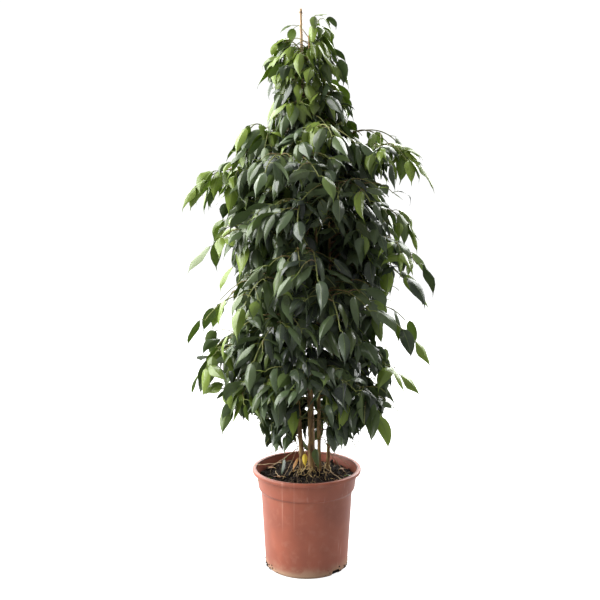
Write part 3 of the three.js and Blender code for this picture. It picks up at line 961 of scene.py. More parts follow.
@dataclass
class Soil:
    """The compost: a filled body whose top is a low mound of crumbs."""

    pot: Pot
    edge_z: float = 176 * MM
    mound: float = 9 * MM
    mound_at: Range = (14 * MM, 16 * MM)
    mound_spread: float = 46 * MM
    crumb: float = 1.7 * MM
    gap: float = 0.5 * MM
    top_rings: int = 64
    sides: int = 200
    lumps: int = 1300
    clinging: int = 72
    fibres: int = 80
    fibre_start: float = 82 * MM
    fibre_reach: float = 86 * MM

    def height(self, x: Array, y: Array) -> Array:
        """The top's height: an edge level, a mound and four low waves, as in the part, and finer relief.

        Args:
            x: Places across.
            y: Places from front to back.

        Returns:
            The heights there.
        """
        x_mm, y_mm = x / MM, y / MM
        waves = (
            np.sin(0.23 * x_mm + 0.11 * y_mm + 1) + np.sin(0.17 * y_mm - 0.21 * x_mm)
            + 0.8 * np.sin(0.41 * x_mm - 0.3 * y_mm + 2) + 0.6 * np.sin(0.47 * y_mm + 0.35 * x_mm)
        )
        off = ((x - self.mound_at[0]) ** 2 + (y - self.mound_at[1]) ** 2) / self.mound_spread**2
        flat = np.stack([x, y, np.zeros_like(x)], -1)
        fine = 1.3 * ripple(flat, 9 * MM, 5) + 0.8 * ripple(flat, 4.2 * MM, 6)
        return self.edge_z + self.mound * np.exp(-off) + self.crumb * waves + fine * MM

    def build(self, material: Material) -> Object:
        """Makes the body: down its side to the pot's floor, and over its top in fine rings.

        Args:
            material: Its finish.

        Returns:
            The piece.
        """
        pot = self.pot
        inset = pot.wall + self.gap
        foot = pot.floor + 0.3 * MM
        edge = pot.outside(self.edge_z) - inset - 0.6 * MM
        side = [
            (0, foot),
            (pot.base_radius - inset, foot),
            (pot.body_top - inset, pot.step_z),
            (pot.collar_foot - inset, pot.collar_foot_z + MM),
            (edge, self.edge_z - 3 * MM),
        ]
        rings = [(radius, self.edge_z) for radius in np.linspace(edge, 1.5 * MM, self.top_rings)]
        shell = lathe(np.array(side + rings + [(0, self.edge_z)]), self.sides)
        top = shell.points[:, 2] > self.edge_z - MM
        shell.points[top, 2] = self.height(shell.points[top, 0], shell.points[top, 1])
        return piece_from("soil_bed", shell, material)

    def crumbs(self, material: Material) -> Object:
        """Loose crumbs, half sunk in the top, and a few that cling outside the pot's foot.

        Args:
            material: Its finish.

        Returns:
            The piece.
        """
        rng = np.random.default_rng(SEED + 1)
        edge = self.pot.outside(self.edge_z) - self.pot.wall - 4 * MM
        far = edge * np.sqrt(rng.uniform(0, 1, self.lumps))
        spots = heading(rng.uniform(0, TURN, self.lumps)) * far[:, None]
        size = rng.uniform(0.7, 1.0, self.lumps) * (0.9 + 2.6 * rng.uniform(0, 1, self.lumps) ** 3) * MM
        spots[:, 2] = self.height(spots[:, 0], spots[:, 1]) + 0.25 * size
        count = self.clinging
        low = rng.uniform(1.5, 16, count) * rng.uniform(0.3, 1, count) * MM + 0.8 * MM
        at_left = rng.uniform(0, 1, count) < 0.5
        sides = np.where(at_left, rng.normal(-2.9, 0.25, count), rng.normal(-0.35, 0.35, count))
        outer = heading(sides) * self.pot.outside(low)[:, None] + UP * low[:, None]
        size = np.concatenate([size, rng.uniform(0.6, 1.8, count) * MM])
        return piece_from("soil_crumbs", lump_shell(np.concatenate([spots, outer]), size, SEED + 2), material)

    def threads(self, material: Material) -> Object:
        """Pale fibres, each a short curved thread that lies on the top.

        Args:
            material: Its finish.

        Returns:
            The piece.
        """
        rng = np.random.default_rng(SEED + 3)
        count, share = self.fibres, np.linspace(0, 1, 7)
        far = self.fibre_start * np.sqrt(rng.uniform(0, 1, count))
        start = heading(rng.uniform(0, TURN, count)) * far[:, None]
        way = rng.uniform(0, TURN, count)
        bow = rng.uniform(-1.3, 1.3, count)
        length = rng.uniform(7, 26, count) * MM
        steps = heading(way[:, None] + bow[:, None] * share) * (length[:, None, None] / 6)
        paths = start[:, None] + np.cumsum(steps, 1)
        reach = np.linalg.norm(paths[..., :2], axis=-1, keepdims=True)
        paths[..., :2] *= np.minimum(1, self.fibre_reach / reach)
        lift = np.sin(math.pi * share) * rng.uniform(0, 3.5, count)[:, None] * MM
        paths[..., 2] = self.height(paths[..., 0], paths[..., 1]) + 0.4 * MM + lift
        radii = rng.uniform(0.18, 0.42, (count, 1)) * MM * (1 - 0.6 * share)
        return piece_from("soil_fibres", tubes(paths, radii, 3, np.tile(UP, (count, 1))), material)


def lump_shell(centres: Array, sizes: Array, seed: int) -> Shell:
    """Rough lumps: each an octahedron split once, pushed in and out by noise and turned at random.

    Args:
        centres: Where the lumps lie.
        sizes: Their radii.
        seed: For their forms.

    Returns:
        The closed lumps, 32 faces each.
    """
    rng = np.random.default_rng(seed)
    poles = np.array([[1, 0, 0], [-1, 0, 0], [0, 1, 0], [0, -1, 0], [0, 0, 1], [0, 0, -1]], float)
    eight = [(0, 2, 4), (2, 1, 4), (1, 3, 4), (3, 0, 4), (2, 0, 5), (1, 2, 5), (3, 1, 5), (0, 3, 5)]
    pairs = sorted({tuple(sorted(pair)) for a, b, c in eight for pair in ((a, b), (b, c), (c, a))})
    middle = {pair: 6 + number for number, pair in enumerate(pairs)}
    ball = np.concatenate([poles, unit(np.array([poles[a] + poles[b] for a, b in pairs]))])
    faces = []
    for a, b, c in eight:
        ab, bc, ca = (middle[tuple(sorted(pair))] for pair in ((a, b), (b, c), (c, a)))
        faces += [(a, ab, ca), (b, bc, ab), (c, ca, bc), (ab, bc, ca)]
    count = len(centres)
    shape = ball[None] * (1 + rng.uniform(-0.28, 0.28, (count, len(ball), 1)))
    shape *= rng.uniform(0.65, 1.25, (count, 1, 3))
    axes = unit(rng.normal(size=(count, 1, 3)))
    shape = turned(shape, axes, rng.uniform(0, TURN, (count, 1)))
    points = centres[:, None] + shape * sizes[:, None, None]
    tris = np.array(faces)[None] + np.arange(count)[:, None, None] * len(ball)
    return Shell(points.reshape(-1, 3), np.zeros((0, 4), int), tris.reshape(-1, 3))


# Poles: the cane and the stems, in millimetres


@dataclass(frozen=True)
class Pole:
    """A leaning pole: a line from foot to top, bowed sideways like half a sine wave between them."""

    name: str
    foot: Range
    top: Range
    foot_z: float
    top_z: float
    radius: float
    tip: float
    bow: Range = (0.0, 0.0)

    def centre(self, z: Number) -> Array:
        """The centre at heights, in metres.

        Args:
            z: Heights, in millimetres.

        Returns:
            The points there.
        """
        z = np.asarray(z, float)
        share = (z - self.foot_z) / (self.top_z - self.foot_z)
        swing = np.sin(np.pi * share)
        sides = [between(self.foot[k], self.top[k], share) + self.bow[k] * swing for k in (0, 1)]
        return np.stack([*sides, z], -1) * MM

    def off(self, points: Array) -> Array:
        """How far points lie from the centre line, or a large number past its ends.

        Args:
            points: The points.

        Returns:
            Their distances, in metres.
        """
        z = points[..., 2] / MM
        away = np.linalg.norm((points - self.centre(z))[..., :2], axis=-1)
        return np.where((z > self.foot_z) & (z < self.top_z), away, 1.0)


STEM_FOOT_Z = 120
STEMS = [
    Pole("stem_left", (-3, 20), (-40, 6), STEM_FOOT_Z, 850, 4.8, 1.7, (-5, 2)),
    Pole("stem_middle", (10, 9), (-15, -14), STEM_FOOT_Z, 935, 5.5, 1.6, (4, -5)),
    Pole("stem_leader", (25, 5), (3, -4), STEM_FOOT_Z, 1006, 3.9, 1.4, (5, -2)),
    Pole("stem_right", (40, 18), (39, 24), STEM_FOOT_Z, 775, 3.3, 1.5, (6, 3)),
]
CANE = Pole("cane", (20, 35), (-12, 12), 14, 1058, 3.4, 3.4 * (1 - 0.11))
SOIL_EDGE_Z = 176
FLARE_HEIGHT, FLARE_WIDEN = 60, 0.55
SCAR_PITCH = 26


def stem_radius(stem: Pole, z: Number) -> Number:
    """A stem's radius in millimetres: thinner upwards, and flared round the soil's level.

    Args:
        stem: The stem.
        z: Heights, in millimetres.

    Returns:
        The radii there.
    """
    share = np.maximum(0, (z - SOIL_EDGE_Z) / (stem.top_z - SOIL_EDGE_Z))
    flare = FLARE_WIDEN * np.maximum(0, 1 - np.abs(z - SOIL_EDGE_Z) / FLARE_HEIGHT) ** 2
    return between(stem.radius, stem.tip, share) * (1 + flare)


@dataclass
class Poles:
    """The bamboo cane and the four rooted stems."""

    stem_sides: int = 22
    stem_rings: int = 260
    flute_depth: float = 0.16
    scar_height: float = 0.07
    cane_sides: int = 28
    cane_rings: int = 620
    joint_spacing: float = 148
    joint_swell: float = 0.75
    joint_length: float = 2.2
    groove_depth: float = 0.35
    cut_round: float = 2.4

    def stem(self, stem: Pole, material: Material) -> Object:
        """One stem: flutes at its foot, leaf scars round it, and low uneven swellings.

        Args:
            stem: Its line.
            material: Its finish.

        Returns:
            The piece.
        """
        z = between(stem.foot_z, stem.top_z, np.linspace(0, 1, self.stem_rings) ** 1.15)
        angle = np.arange(self.stem_sides) * TURN / self.stem_sides
        seed = sum(map(ord, stem.name))
        grid = np.stack(np.broadcast_arrays(np.cos(angle), np.sin(angle), z[:, None] * 0.035), -1)
        low = np.exp(-np.maximum(z - SOIL_EDGE_Z, 0) / 26)[:, None]
        flutes = self.flute_depth * low * np.sin(4 * angle + 0.02 * z[:, None] + seed)
        scars = self.scar_height * np.exp(-(((z % SCAR_PITCH) - SCAR_PITCH / 2) / 1.3) ** 2)[:, None]
        bumps = 0.07 * ripple(grid, 1.4, seed) + 0.035 * ripple(grid * [2, 2, 5], 1.1, seed + 1)
        radii = stem_radius(stem, z)[:, None] * (1 + flutes + scars + bumps) * MM
        shell = tubes(stem.centre(z)[None], radii[None], self.stem_sides, FRONT[None])
        return piece_from(stem.name + "_bark", shell, material)

    def cane(self, material: Material) -> Object:
        """The cane: a swollen ring at each joint with a groove above it, and a rounded cut top.

        Args:
            material: Its finish.

        Returns:
            The piece.
        """
        foot, top, bend = CANE.foot_z, CANE.top_z - 0.6, self.cut_round
        last = top - bend * (1 - np.sin(np.linspace(0.2, 1, 7) * math.pi / 2))
        z = np.concatenate([np.linspace(foot, top - bend, self.cane_rings), last])
        off = (z - foot + self.joint_spacing / 2) % self.joint_spacing - self.joint_spacing / 2
        swell = self.joint_swell * np.exp(-((off / self.joint_length) ** 2))
        swell = swell - self.groove_depth * np.exp(-(((off - 2.6) / 0.9) ** 2))
        thick = between(CANE.radius, CANE.tip, z / CANE.top_z) - 0.12 + swell * (np.abs(z - foot) > 20)
        past = np.clip((z - (top - bend)) / bend, 0, 1)
        round_off = np.sqrt(np.clip(1 - past**2.4, 0.02, 1))
        radii = (thick * round_off)[:, None] * np.ones(self.cane_sides)
        shell = tubes(CANE.centre(z)[None], radii[None] * MM, self.cane_sides, FRONT[None])
        return piece_from("cane_bamboo", shell, material)


# Leaves


@dataclass
class Leaves:
    """Where leaves hang, how they face, and their forms: one row a leaf. Angles in radians, metres.

    out is the level way a leaf points, fall how steeply its blade starts below level, bend how much
    steeper it ends, roll its turn about its own midrib, fold how far its halves slope from the
    midrib, wave how much its edges rise and fall, and sweep how far its tip swings sideways, as a
    share of its length. age runs from 0, old and dark, to 1, young and lime. The tone runs from dark
    to lighter green; besides the leaf's own tone it holds painted light and shade, and the age holds
    some painted light too.
    """

    root: Array
    out: Array
    length: Array
    fall: Array
    bend: Array
    roll: Array
    slimness: Array
    fold: Array
    wave: Array
    phase: Array
    sweep: Array
    stalk: Array
    age: Array
    tint: Array

    @classmethod
    def gather(cls, rows: list[dict[str, Number]]) -> "Leaves":
        """All the rows as arrays. What a row leaves out is 0."""
        return cls(*(np.array([row.get(spot.name, 0.0) for row in rows], float) for spot in fields(cls)))

    @classmethod
    def join(cls, parts: list["Leaves"]) -> "Leaves":
        """The leaves of all the parts."""
        return cls(*(np.concatenate([getattr(part, spot.name) for part in parts]) for spot in fields(cls)))

    def pick(self, chosen: Array) -> "Leaves":
        """The chosen leaves."""
        return Leaves(*(getattr(self, spot.name)[chosen] for spot in fields(Leaves)))


STALK_FALL_SHARE, STALK_FALL_LESS = 0.35, 0.1
STALK_RADIUS, STALK_ARCH = 0.68 * MM, 0.06
LEAF_STATIONS = np.array([0.0, 0.05, 0.15, 0.29, 0.45, 0.61, 0.74, 0.84, 0.92])
LEAF_RING = 6
MAP_COLUMNS = [0.0, 0.25, 0.5, 0.75, 1.0, 0.5]
MAP_STALK_ROWS = [-0.2, -0.1]
BLADE_THICKNESS, RIB_RISE = 0.45 * MM, 0.1 * MM
BLADE_OPENS = 0.12
DRIP_WIDTH, DRIP_LENGTH = 0.10, 0.16
HALF_MIDDLE, PUFF = 0.52, 0.075
EDGE_WAVES, OTHER_EDGE = 1.35, 1.9


def facing(out: Array, fall: Array) -> Array:
    """The direction that falls by an angle below a level heading."""
    return out * np.cos(fall)[..., None] - UP * np.sin(fall)[..., None]


def blade_width(along: Array) -> Array:
    """A blade's half width over its widest: a rounded foot, widest above a third, and a drawn-out tip.

    The body is a sine of along ** 0.7 raised to 0.78, and the drip tip a straight taper to the point.

    Args:
        along: Shares of its length.

    Returns:
        The widths there, from 0 to 1.
    """
    inner = np.clip(along / 0.86, 0, 1)
    body = np.sin(math.pi * inner**0.7) ** 0.78
    drip = DRIP_WIDTH * np.clip((1 - along) / DRIP_LENGTH, 0, 1)
    return np.where(along < 0.6, body, np.maximum(body, drip))


def midrib(leaves: Leaves, along: Array) -> tuple[Array, Array, Array]:
    """Points of the midribs.

    Each blade's middle line is an arc in the upright plane that its heading lies in, as in the
    part: neck + length / bend * ((sin(end) - sin(fall)) * out + (cos(end) - cos(fall)) * up),
    where end = fall + bend * along. The sweep adds sideways by along cubed.

    Args:
        leaves: The leaves.
        along: Shares of the blade's length.

    Returns:
        The points, shaped (leaves, shares, 3), the way each midrib runs there, and its level side.
    """
    out = leaves.out[:, None]
    end = leaves.fall[:, None] + leaves.bend[:, None] * along
    radius = (leaves.length / leaves.bend)[:, None, None]
    level = unit(np.cross(UP, leaves.out))[:, None]
    stalk_fall = leaves.fall * STALK_FALL_SHARE - STALK_FALL_LESS
    neck = leaves.root + facing(leaves.out, stalk_fall) * leaves.stalk[:, None]
    rise = (np.sin(end) - np.sin(leaves.fall)[:, None])[..., None] * out
    drop = (np.cos(end) - np.cos(leaves.fall)[:, None])[..., None] * UP
    side = (leaves.sweep * leaves.length)[:, None, None] * (along**3)[:, None] * level
    points = neck[:, None] + radius * (rise + drop) + side
    return points, facing(out, end), np.broadcast_to(level, points.shape)


def leaf_rings(leaves: Leaves) -> tuple[Array, Array]:
    """The points of leaves, ring by ring down their stalks and blades.

    Round a blade's ring the points are: one edge, its half's middle, the midrib above, the other
    half's middle, the other edge, and the midrib below. A stalk's rings are round.

    Args:
        leaves: The leaves.

    Returns:
        The rings, shaped (leaves, rings, points, 3), and the drip tips, shaped (leaves, 1, 3).
    """
    along = LEAF_STATIONS
    centre, way, level = midrib(leaves, np.append(along, 1.0))
    tip, centre, way, level = centre[:, -1:], centre[:, :-1], way[:, :-1], level[:, :-1]
    across = turned(level, way, leaves.roll[:, None] * between(0.5, 1.15, along))
    over = np.cross(way, across)
    half = blade_width(along) * (leaves.length * leaves.slimness / 2)[:, None]
    half = np.maximum(half, STALK_RADIUS)
    opened = smooth(0.0, BLADE_OPENS, along)
    fold = leaves.fold[:, None] * opened
    ripples = leaves.wave[:, None] * half * opened
    swing = TURN * EDGE_WAVES * along + leaves.phase[:, None]
    one, other = (-half * np.sin(fold) + ripples * np.sin(swing + shift) for shift in (0, OTHER_EDGE))
    thick = np.where(opened > 0, BLADE_THICKNESS, 2 * STALK_RADIUS) * np.ones_like(half)
    wide, inner, none, puff = half * np.cos(fold), HALF_MIDDLE * half, 0 * half, PUFF * half * opened
    sideways = np.stack([wide, inner, none, -inner, -wide, none], -1)[..., None]
    upward = [one, 0.5 * one + puff, none + RIB_RISE, 0.5 * other + puff, other, -thick]
    upward = np.stack(upward, -1)[..., None]
    blade = centre[:, :, None] + sideways * across[:, :, None] + upward * over[:, :, None]
    angles = (np.arange(LEAF_RING) * TURN / LEAF_RING)[:, None]
    spokes = STALK_RADIUS * np.cos(angles) * across[:, :1] + STALK_RADIUS * np.sin(angles) * over[:, :1]
    blade[:, 0] = centre[:, :1] + spokes
    elbow = between(leaves.root, centre[:, 0], 0.5) + UP * STALK_ARCH * leaves.stalk[:, None]
    stalk = [(spot[:, None] + size * spokes)[:, None] for spot, size in ((leaves.root, 0.9), (elbow, 0.8))]
    return np.concatenate([*stalk, blade], 1), tip


def leaf_shell(leaves: Leaves) -> Shell:
    """Closed leaves, whose edges and upper midribs are sharp lines.

    Args:
        leaves: The leaves.

    Returns:
        One shell of them all, 68 faces a leaf, mapped for the vein pattern.
    """
    rings, tip = leaf_rings(leaves)
    count, sections = rings.shape[:2]
    per_leaf = sections * LEAF_RING + 1
    points = np.concatenate([rings.reshape(count, -1, 3), tip], 1)
    walls, _, top = ring_faces(sections, LEAF_RING)
    quads = np.concatenate([walls, [[0, 5, 4, 3], [0, 3, 2, 1]]])
    tris = np.roll(top, -1, 1) - [0, 0, 1]
    step = np.arange(count)[:, None, None] * per_leaf
    rows = np.concatenate([MAP_STALK_ROWS, LEAF_STATIONS])
    uv = np.stack(np.meshgrid(MAP_COLUMNS, rows), -1).reshape(-1, 2)
    seam = np.zeros((sections, LEAF_RING), int)
    seam[2:, [0, 2, 4]] = 1, 2, 3
    lower = np.isin(np.arange(LEAF_RING), (4, 5))
    under = np.append(np.tile(lower, sections - 1), [0, 0])
    return Shell(
        points.reshape(-1, 3),
        (quads + step).reshape(-1, 4),
        (tris + step).reshape(-1, 3),
        seam=np.tile(np.append(seam, ANY_SEAM), count),
        uv=np.tile(np.concatenate([uv, [[0.5, 1.0]]]), (count, 1)),
        values={"age": np.repeat(leaves.age, per_leaf), "tint": np.repeat(leaves.tint, per_leaf)},
        face_values={"underside": np.concatenate([np.tile(under, count), np.tile(lower, count)])},
    )


# What lies on the soil


# Each dry stalk's start, middle and end, in millimetres
DRY_STALKS = [
    [[-22, 14, 242], [-66, 30, 214], [-112, 38, 194]], [[-30, 2, 206], [-62, -2, 200], [-101, 6, 196.5]],
    [[-20, 14, 226], [-44, 10, 206], [-76, 16, 186]], [[-2, 12, 232], [-16, 2, 208], [-33, -14, 184]],
    [[4, 6, 238], [-10, -4, 210], [-20, -22, 183]], [[30, -4, 200], [52, -24, 186], [70, -40, 181]],
    [[-50, -30, 184], [-62, -10, 186], [-60, 12, 183]], [[44, 12, 222], [62, 2, 196], [76, -6, 184]],
    [[-26, 6, 262], [-16, -14, 232], [-4, -26, 186]], [[28, 8, 248], [50, 4, 226], [84, 14, 190]],
    [[-16, 2, 236], [-30, -22, 206], [-46, -40, 184]],
]
# Fallen leaves: x, y and height above the soil, heading, fall, bend, roll, length and age
DEAD_LEAVES = [
    (-1, -24, 52, -1.9, 1.25, 0.4, -0.3, 26, 1.0), (-12, -14, 36, -2.3, 0.4, 1.2, 0.5, 30, 0.18),
    (-40, -32, 3, 2.4, 0.1, 0.3, 0.3, 26, 0.0), (44, -30, 3, -0.5, 0.0, 0.4, -0.2, 24, 0.0),
    (62, 12, 5, 0.9, 0.1, 0.3, 0.5, 24, 0.0), (-60, 24, 4, 2.2, 0.0, 0.4, 0.2, 26, 0.05),
    (12, -62, 3, -2.2, 0.1, 0.2, 0.2, 22, 0.0),
]
GREEN_LITTER = [
    (14, -8, 56, -1.2, 1.15, 0.4, -0.3, 42, 0.4), (-38, 2, 36, -2.3, 1.0, 0.5, 0.4, 36, 0.0),
    (-66, -22, 5, 3.4, 0.0, 0.4, 0.2, 26, 0.5), (72, -18, 6, 0.4, 0.1, 0.3, -0.3, 28, 0.35),
]


@dataclass
class Litter:
    """Surface roots, fallen leaves, straw and bare twigs on the compost."""

    soil: Soil
    roots: int = 21
    root_sections: int = 26
    root_stems: tuple[float, ...] = (0.09, 0.67, 0.14, 0.10)
    root_lengths: Range = (18, 52)
    root_radii: Range = (0.4, 0.95)
    straw_sections: int = 16
    straw_radii: Range = (0.9, 0.5)

    def surface_roots(self, material: Material) -> Object:
        """Wiry roots that leave the stems' feet, arch over and wander along the soil.

        A root's distance from its stem grows with its length, its height falls as the square of
        what is left of it, and its heading sways as a sine wave.

        Args:
            material: Their finish.

        Returns:
            The piece.
        """
        rng = np.random.default_rng(SEED + 11)
        share = np.linspace(0, 1, self.root_sections)
        each = (self.roots, 1)
        stems = rng.choice(len(STEMS), self.roots, p=self.root_stems)
        feet = np.array([stem.centre(SOIL_EDGE_Z + 8) for stem in STEMS])[stems]
        way = rng.normal(-2.0, 0.8, self.roots)[:, None]
        length = rng.uniform(*self.root_lengths, self.roots)[:, None] * MM
        sway = 0.7 * np.sin(TURN * share * rng.uniform(0.5, 1.6, each) + rng.uniform(0, TURN, each))
        steps = heading(way + sway) * (length / self.root_sections)[..., None]
        paths = feet[:, None] + heading(way) * 3 * MM + np.cumsum(steps, 1)
        arch = rng.uniform(2, 15, each) * MM * (1 - share) ** 2
        loops = np.abs(np.sin(math.pi * share * rng.uniform(1, 3, each))) * rng.uniform(0, 3, each) * MM
        ground = self.soil.height(paths[..., 0], paths[..., 1])
        paths[..., 2] = ground + 0.3 * MM + arch + loops * (1 - share)
        radii = rng.uniform(*self.root_radii, each) * MM * (1 - 0.65 * share)
        return piece_from("surface_roots", tubes(paths, radii, 6, np.tile(UP, each)), material)

    def fallen_leaves(self, material: Material, places: list[tuple[float, ...]], name: str) -> Object:
        """Leaves that lie on the soil or lean on the stems.

        Args:
            material: Their finish.
            places: Rows as in DEAD_LEAVES.
            name: The piece's name.

        Returns:
            The piece.
        """
        rows = []
        for x, y, up, way, fall, bend, roll, length, age in places:
            ground = float(self.soil.height(np.array(x * MM), np.array(y * MM)))
            rows.append({
                "root": np.array([x * MM, y * MM, ground + up * MM]), "out": heading(way),
                "length": length * MM, "fall": fall, "bend": bend, "roll": roll, "slimness": 0.42,
                "fold": 0.35, "wave": 0.2, "phase": x, "sweep": 0.1, "stalk": 8 * MM,
                "age": age, "tint": min(0.2 + 2 * age, 0.8),
            })
        return piece_from(name, leaf_shell(Leaves.gather(rows)), material)

    def straw(self, material: Material) -> Object:
        """Dry stalks: some lean from the stems over the pot's left edge, and the rest lie about.

        Args:
            material: Its finish.

        Returns:
            The piece.
        """
        share = np.linspace(0, 1, self.straw_sections)[:, None]
        start, middle, end = np.moveaxis(np.array(DRY_STALKS) * MM, 1, 0)[:, :, None]
        kinks = np.stack([np.sin(20 * share), np.cos(17 * share), np.sin(23 * share)], -1)[:, 0]
        paths = quadratic(start, middle, end, share) + 0.5 * MM * kinks
        count = len(paths)
        radii = np.linspace(*self.straw_radii, self.straw_sections) * MM
        radii = radii * np.linspace(1.2, 0.8, count)[:, None]
        hints = np.tile([0, 1.0, 0.2], (count, 1))
        return piece_from("dry_stalks", tubes(paths, radii, 6, hints), material)


# The crown: the part's sprays regrown, and what fills them in


CROWN_AXIS = np.array([-2 * MM, 0, 0])
# The crown's outlines: height, and how far it reaches from its axis
LEFT_OUTLINE = np.array([
    [215, 75], [267, 137], [325, 210], [422, 236], [500, 206], [603, 200], [660, 190],
    [722, 238], [765, 180], [800, 150], [830, 112], [860, 86], [935, 84], [985, 66], [1058, 16],
]) * MM
RIGHT_OUTLINE = np.array([
    [215, 90], [250, 152], [337, 202], [400, 228], [484, 230], [555, 240], [628, 220], [685, 196],
    [752, 230], [800, 205], [828, 122], [865, 96], [935, 76], [985, 54], [1030, 38], [1058, 18],
]) * MM
# The sprays that draw the outlines: a tip's height in millimetres, and its heading in degrees
OUTLINE_SPRAYS = [
    (312, -24), (338, -146), (372, 6), (392, 187), (450, -12), (478, 172), (545, 12), (592, -8),
    (625, 190), (668, 4), (735, 184), (776, -10), (808, 14), (840, 200), (905, 6), (962, 176), (996, 158),
    (1022, 0),
]
# Hollows in the crown's edge: heading and half width in radians, height and half height in
# millimetres, and the share of the reach that they take away
HOLLOWS = [
    (-1.1, 0.65, 590, 150, 0.55), (3.1, 0.9, 512, 78, 0.34), (0.0, 0.85, 500, 95, 0.32),
    (-2.2, 0.5, 440, 60, 0.3), (-0.4, 0.5, 375, 45, 0.3),
]
# Where nothing hangs before the stems' feet or the cane's top: from x, to x, from z, to z, before y
WINDOWS = np.array([[-18, 40, 0, 360, 0], [-27, 4, 958, 1034, 12]]) * MM
# Placed shoots: the stem's number, height in millimetres, heading, span and drop in millimetres
LOW_SHOOTS = [
    (0, 292, 3.7, 62, 26), (0, 268, 3.05, 72, 22), (3, 268, -0.6, 62, 30), (1, 322, 1.9, 74, 34),
    (3, 334, 1.2, 72, 40), (0, 304, 2.3, 72, 34), (2, 342, 1.55, 62, 44), (1, 290, 1.9, 60, 6),
    (3, 282, 1.4, 50, 4), (0, 284, 2.2, 56, 8), (2, 298, 1.6, 46, 6), (1, 272, 1.2, 44, 2),
    (0, 266, 1.7, 44, 2),
]
GAP_SHOOTS = [(2, 672, 1.3, 66, 10), (2, 655, 1.8, 56, 6), (3, 668, 1.7, 60, 16), (1, 664, 1.1, 60, 8)]
TOP_SHOOTS = [
    (2, 990, 2.7, 34, -10), (2, 1000, -1.3, 30, -8), (2, 978, -2.3, 42, -4), (2, 966, -0.4, 46, 2),
    (2, 984, 1.6, 34, -6), (2, 1003, -0.35, 24, -31), (2, 1003, 2.6, 25, -22),
]
# The first spray with the young leaf's finish, the first number of the bands of shoots, and how
# near a point must lie to a corner of its node to be that corner
YOUNG_FROM, INNER, MATCH = 36, 100, 0.12 * MM
GOLDEN_ANGLE = math.pi * (3 - math.sqrt(5))
# What sets apart the random draws of the fillings, the inner shoots, the stems' ends and the placed shoots
FILL_DRAWS, INNER_DRAWS, LEADER_DRAWS, PLACED_DRAWS = 77, 78, 79, 80


def crown_reach(z: Number, angle: Number) -> Number:
    """How far the crown reaches: its two outlines blended round the sides.

    Args:
        z: Heights.
        angle: Headings.

    Returns:
        The distances from its axis.
    """
    left = np.interp(z, *LEFT_OUTLINE.T)
    right = np.interp(z, *RIGHT_OUTLINE.T)
    return between(left, right, (1 + np.cos(angle)) / 2)


class Bend(Enum):
    """How a twig bends, as shares of its span: out and back along it, and up at each end."""

    MAIN = (0.34, 0.2, 0.3)
    SIDE = (0.35, 0.22, 0.26)


@dataclass(frozen=True)
class Twig:
    """A twig on a cubic curve: it leaves its start, rises, turns over and hangs down to its tip."""

    corners: Array
    away: Array
    span: float
    sections: int
    thick: float
    thin: float

    @classmethod
    def grown(
        cls, start: Array, tip: Array, away: Array, span: float, rise: float, bend: Bend,
        sections: int, thick: float, thin: float,
    ) -> "Twig":
        """A twig from its two ends, the way it heads and how it bends.

        Args:
            start: Where it leaves its parent.
            tip: Where it ends.
            away: The level way it heads.
            span: How far that is.
            rise: How steeply it starts.
            bend: How it bends.
            sections: Pieces in the part's own coarse twig.
            thick: Its radius at the start.
            thin: Its radius at the tip.

        Returns:
            The twig.
        """
        out, back, weep = bend.value
        inner = start + away * (out * span) + UP * (rise * span)
        outer = tip - away * (back * span) + UP * (weep * span)
        return cls(np.array([start, inner, outer, tip]), away, span, sections, thick, thin)

    def curve(self, share: Number) -> Array:
        """Points of the curve at shares.

        Args:
            share: How far down the twig.

        Returns:
            The points.
        """
        t = np.asarray(share, float)[..., None]
        a, b, c, d = self.corners
        return a * (1 - t) ** 3 + b * 3 * (1 - t) ** 2 * t + c * 3 * (1 - t) * t**2 + d * t**3

    def knots(self) -> Array:
        """The points that the part's own coarse twig passes through."""
        return self.curve(np.linspace(0, 1, self.sections + 1))

    def coarse(self, share: float) -> Array:
        """A point of the part's coarse twig."""
        at = np.linspace(0, 1, self.sections + 1)
        return np.array([np.interp(share, at, line) for line in self.knots().T])

    def flat_way(self, share: float) -> Array:
        """The level way that the coarse twig runs at a share."""
        way = self.coarse(min(1, share + 0.03)) - self.coarse(max(0, share - 0.03))
        return unit(way * [1, 1, 0])

    def arc_length(self) -> float:
        """The curve's length."""
        return float(np.linalg.norm(np.diff(self.curve(np.linspace(0, 1, 17)), axis=0), axis=1).sum())

    def coarse_rings(self) -> Array:
        """The corner points of the part's three-sided twig, by which it is found in its node."""
        radii = between(self.thick, self.thin, np.linspace(0, 1, self.sections + 1))
        made = tubes(self.knots()[None], radii[None], 3, np.cross(self.away, UP)[None])
        return made.points[:-2].reshape(-1, 3, 3)


@dataclass
class Spray:
    """One leafy spray: its node's number and mesh points, its twigs, and its leaves in parts."""

    number: int
    tip_z: float
    angle: float | None = None
    outer: bool = False
    node_points: Array | None = None
    main: Twig | None = None
    side: Twig | None = None
    extra: list[Twig] = field(default_factory=list)
    parts: list[Leaves] = field(default_factory=list)

    @property
    def name(self) -> str:
        """The name of the spray's node, or of a band of shoots that has none."""
        if self.number >= INNER:
            return f"inner_shoots_{self.number - INNER + 1}"
        return f"spray_{self.number + 1:02d}"

    def new_growth(self) -> bool:
        """Whether this is one of the topmost sprays, which the part gives the young leaf's finish."""
        return YOUNG_FROM <= self.number < INNER

    def youth(self) -> float:
        """How much more often than usual this spray's leaves are young."""
        if self.number >= INNER:
            return -0.08
        return 0.15 * self.new_growth() + 0.16 * (draw(self.number, 91) - 0.4)

    def holds(self, points: Array) -> Array:
        """Which of the points are corners of the node's mesh."""
        off = np.linalg.norm(self.node_points[None] - points.reshape(-1, 1, 3), axis=-1)
        return off.min(1) < MATCH


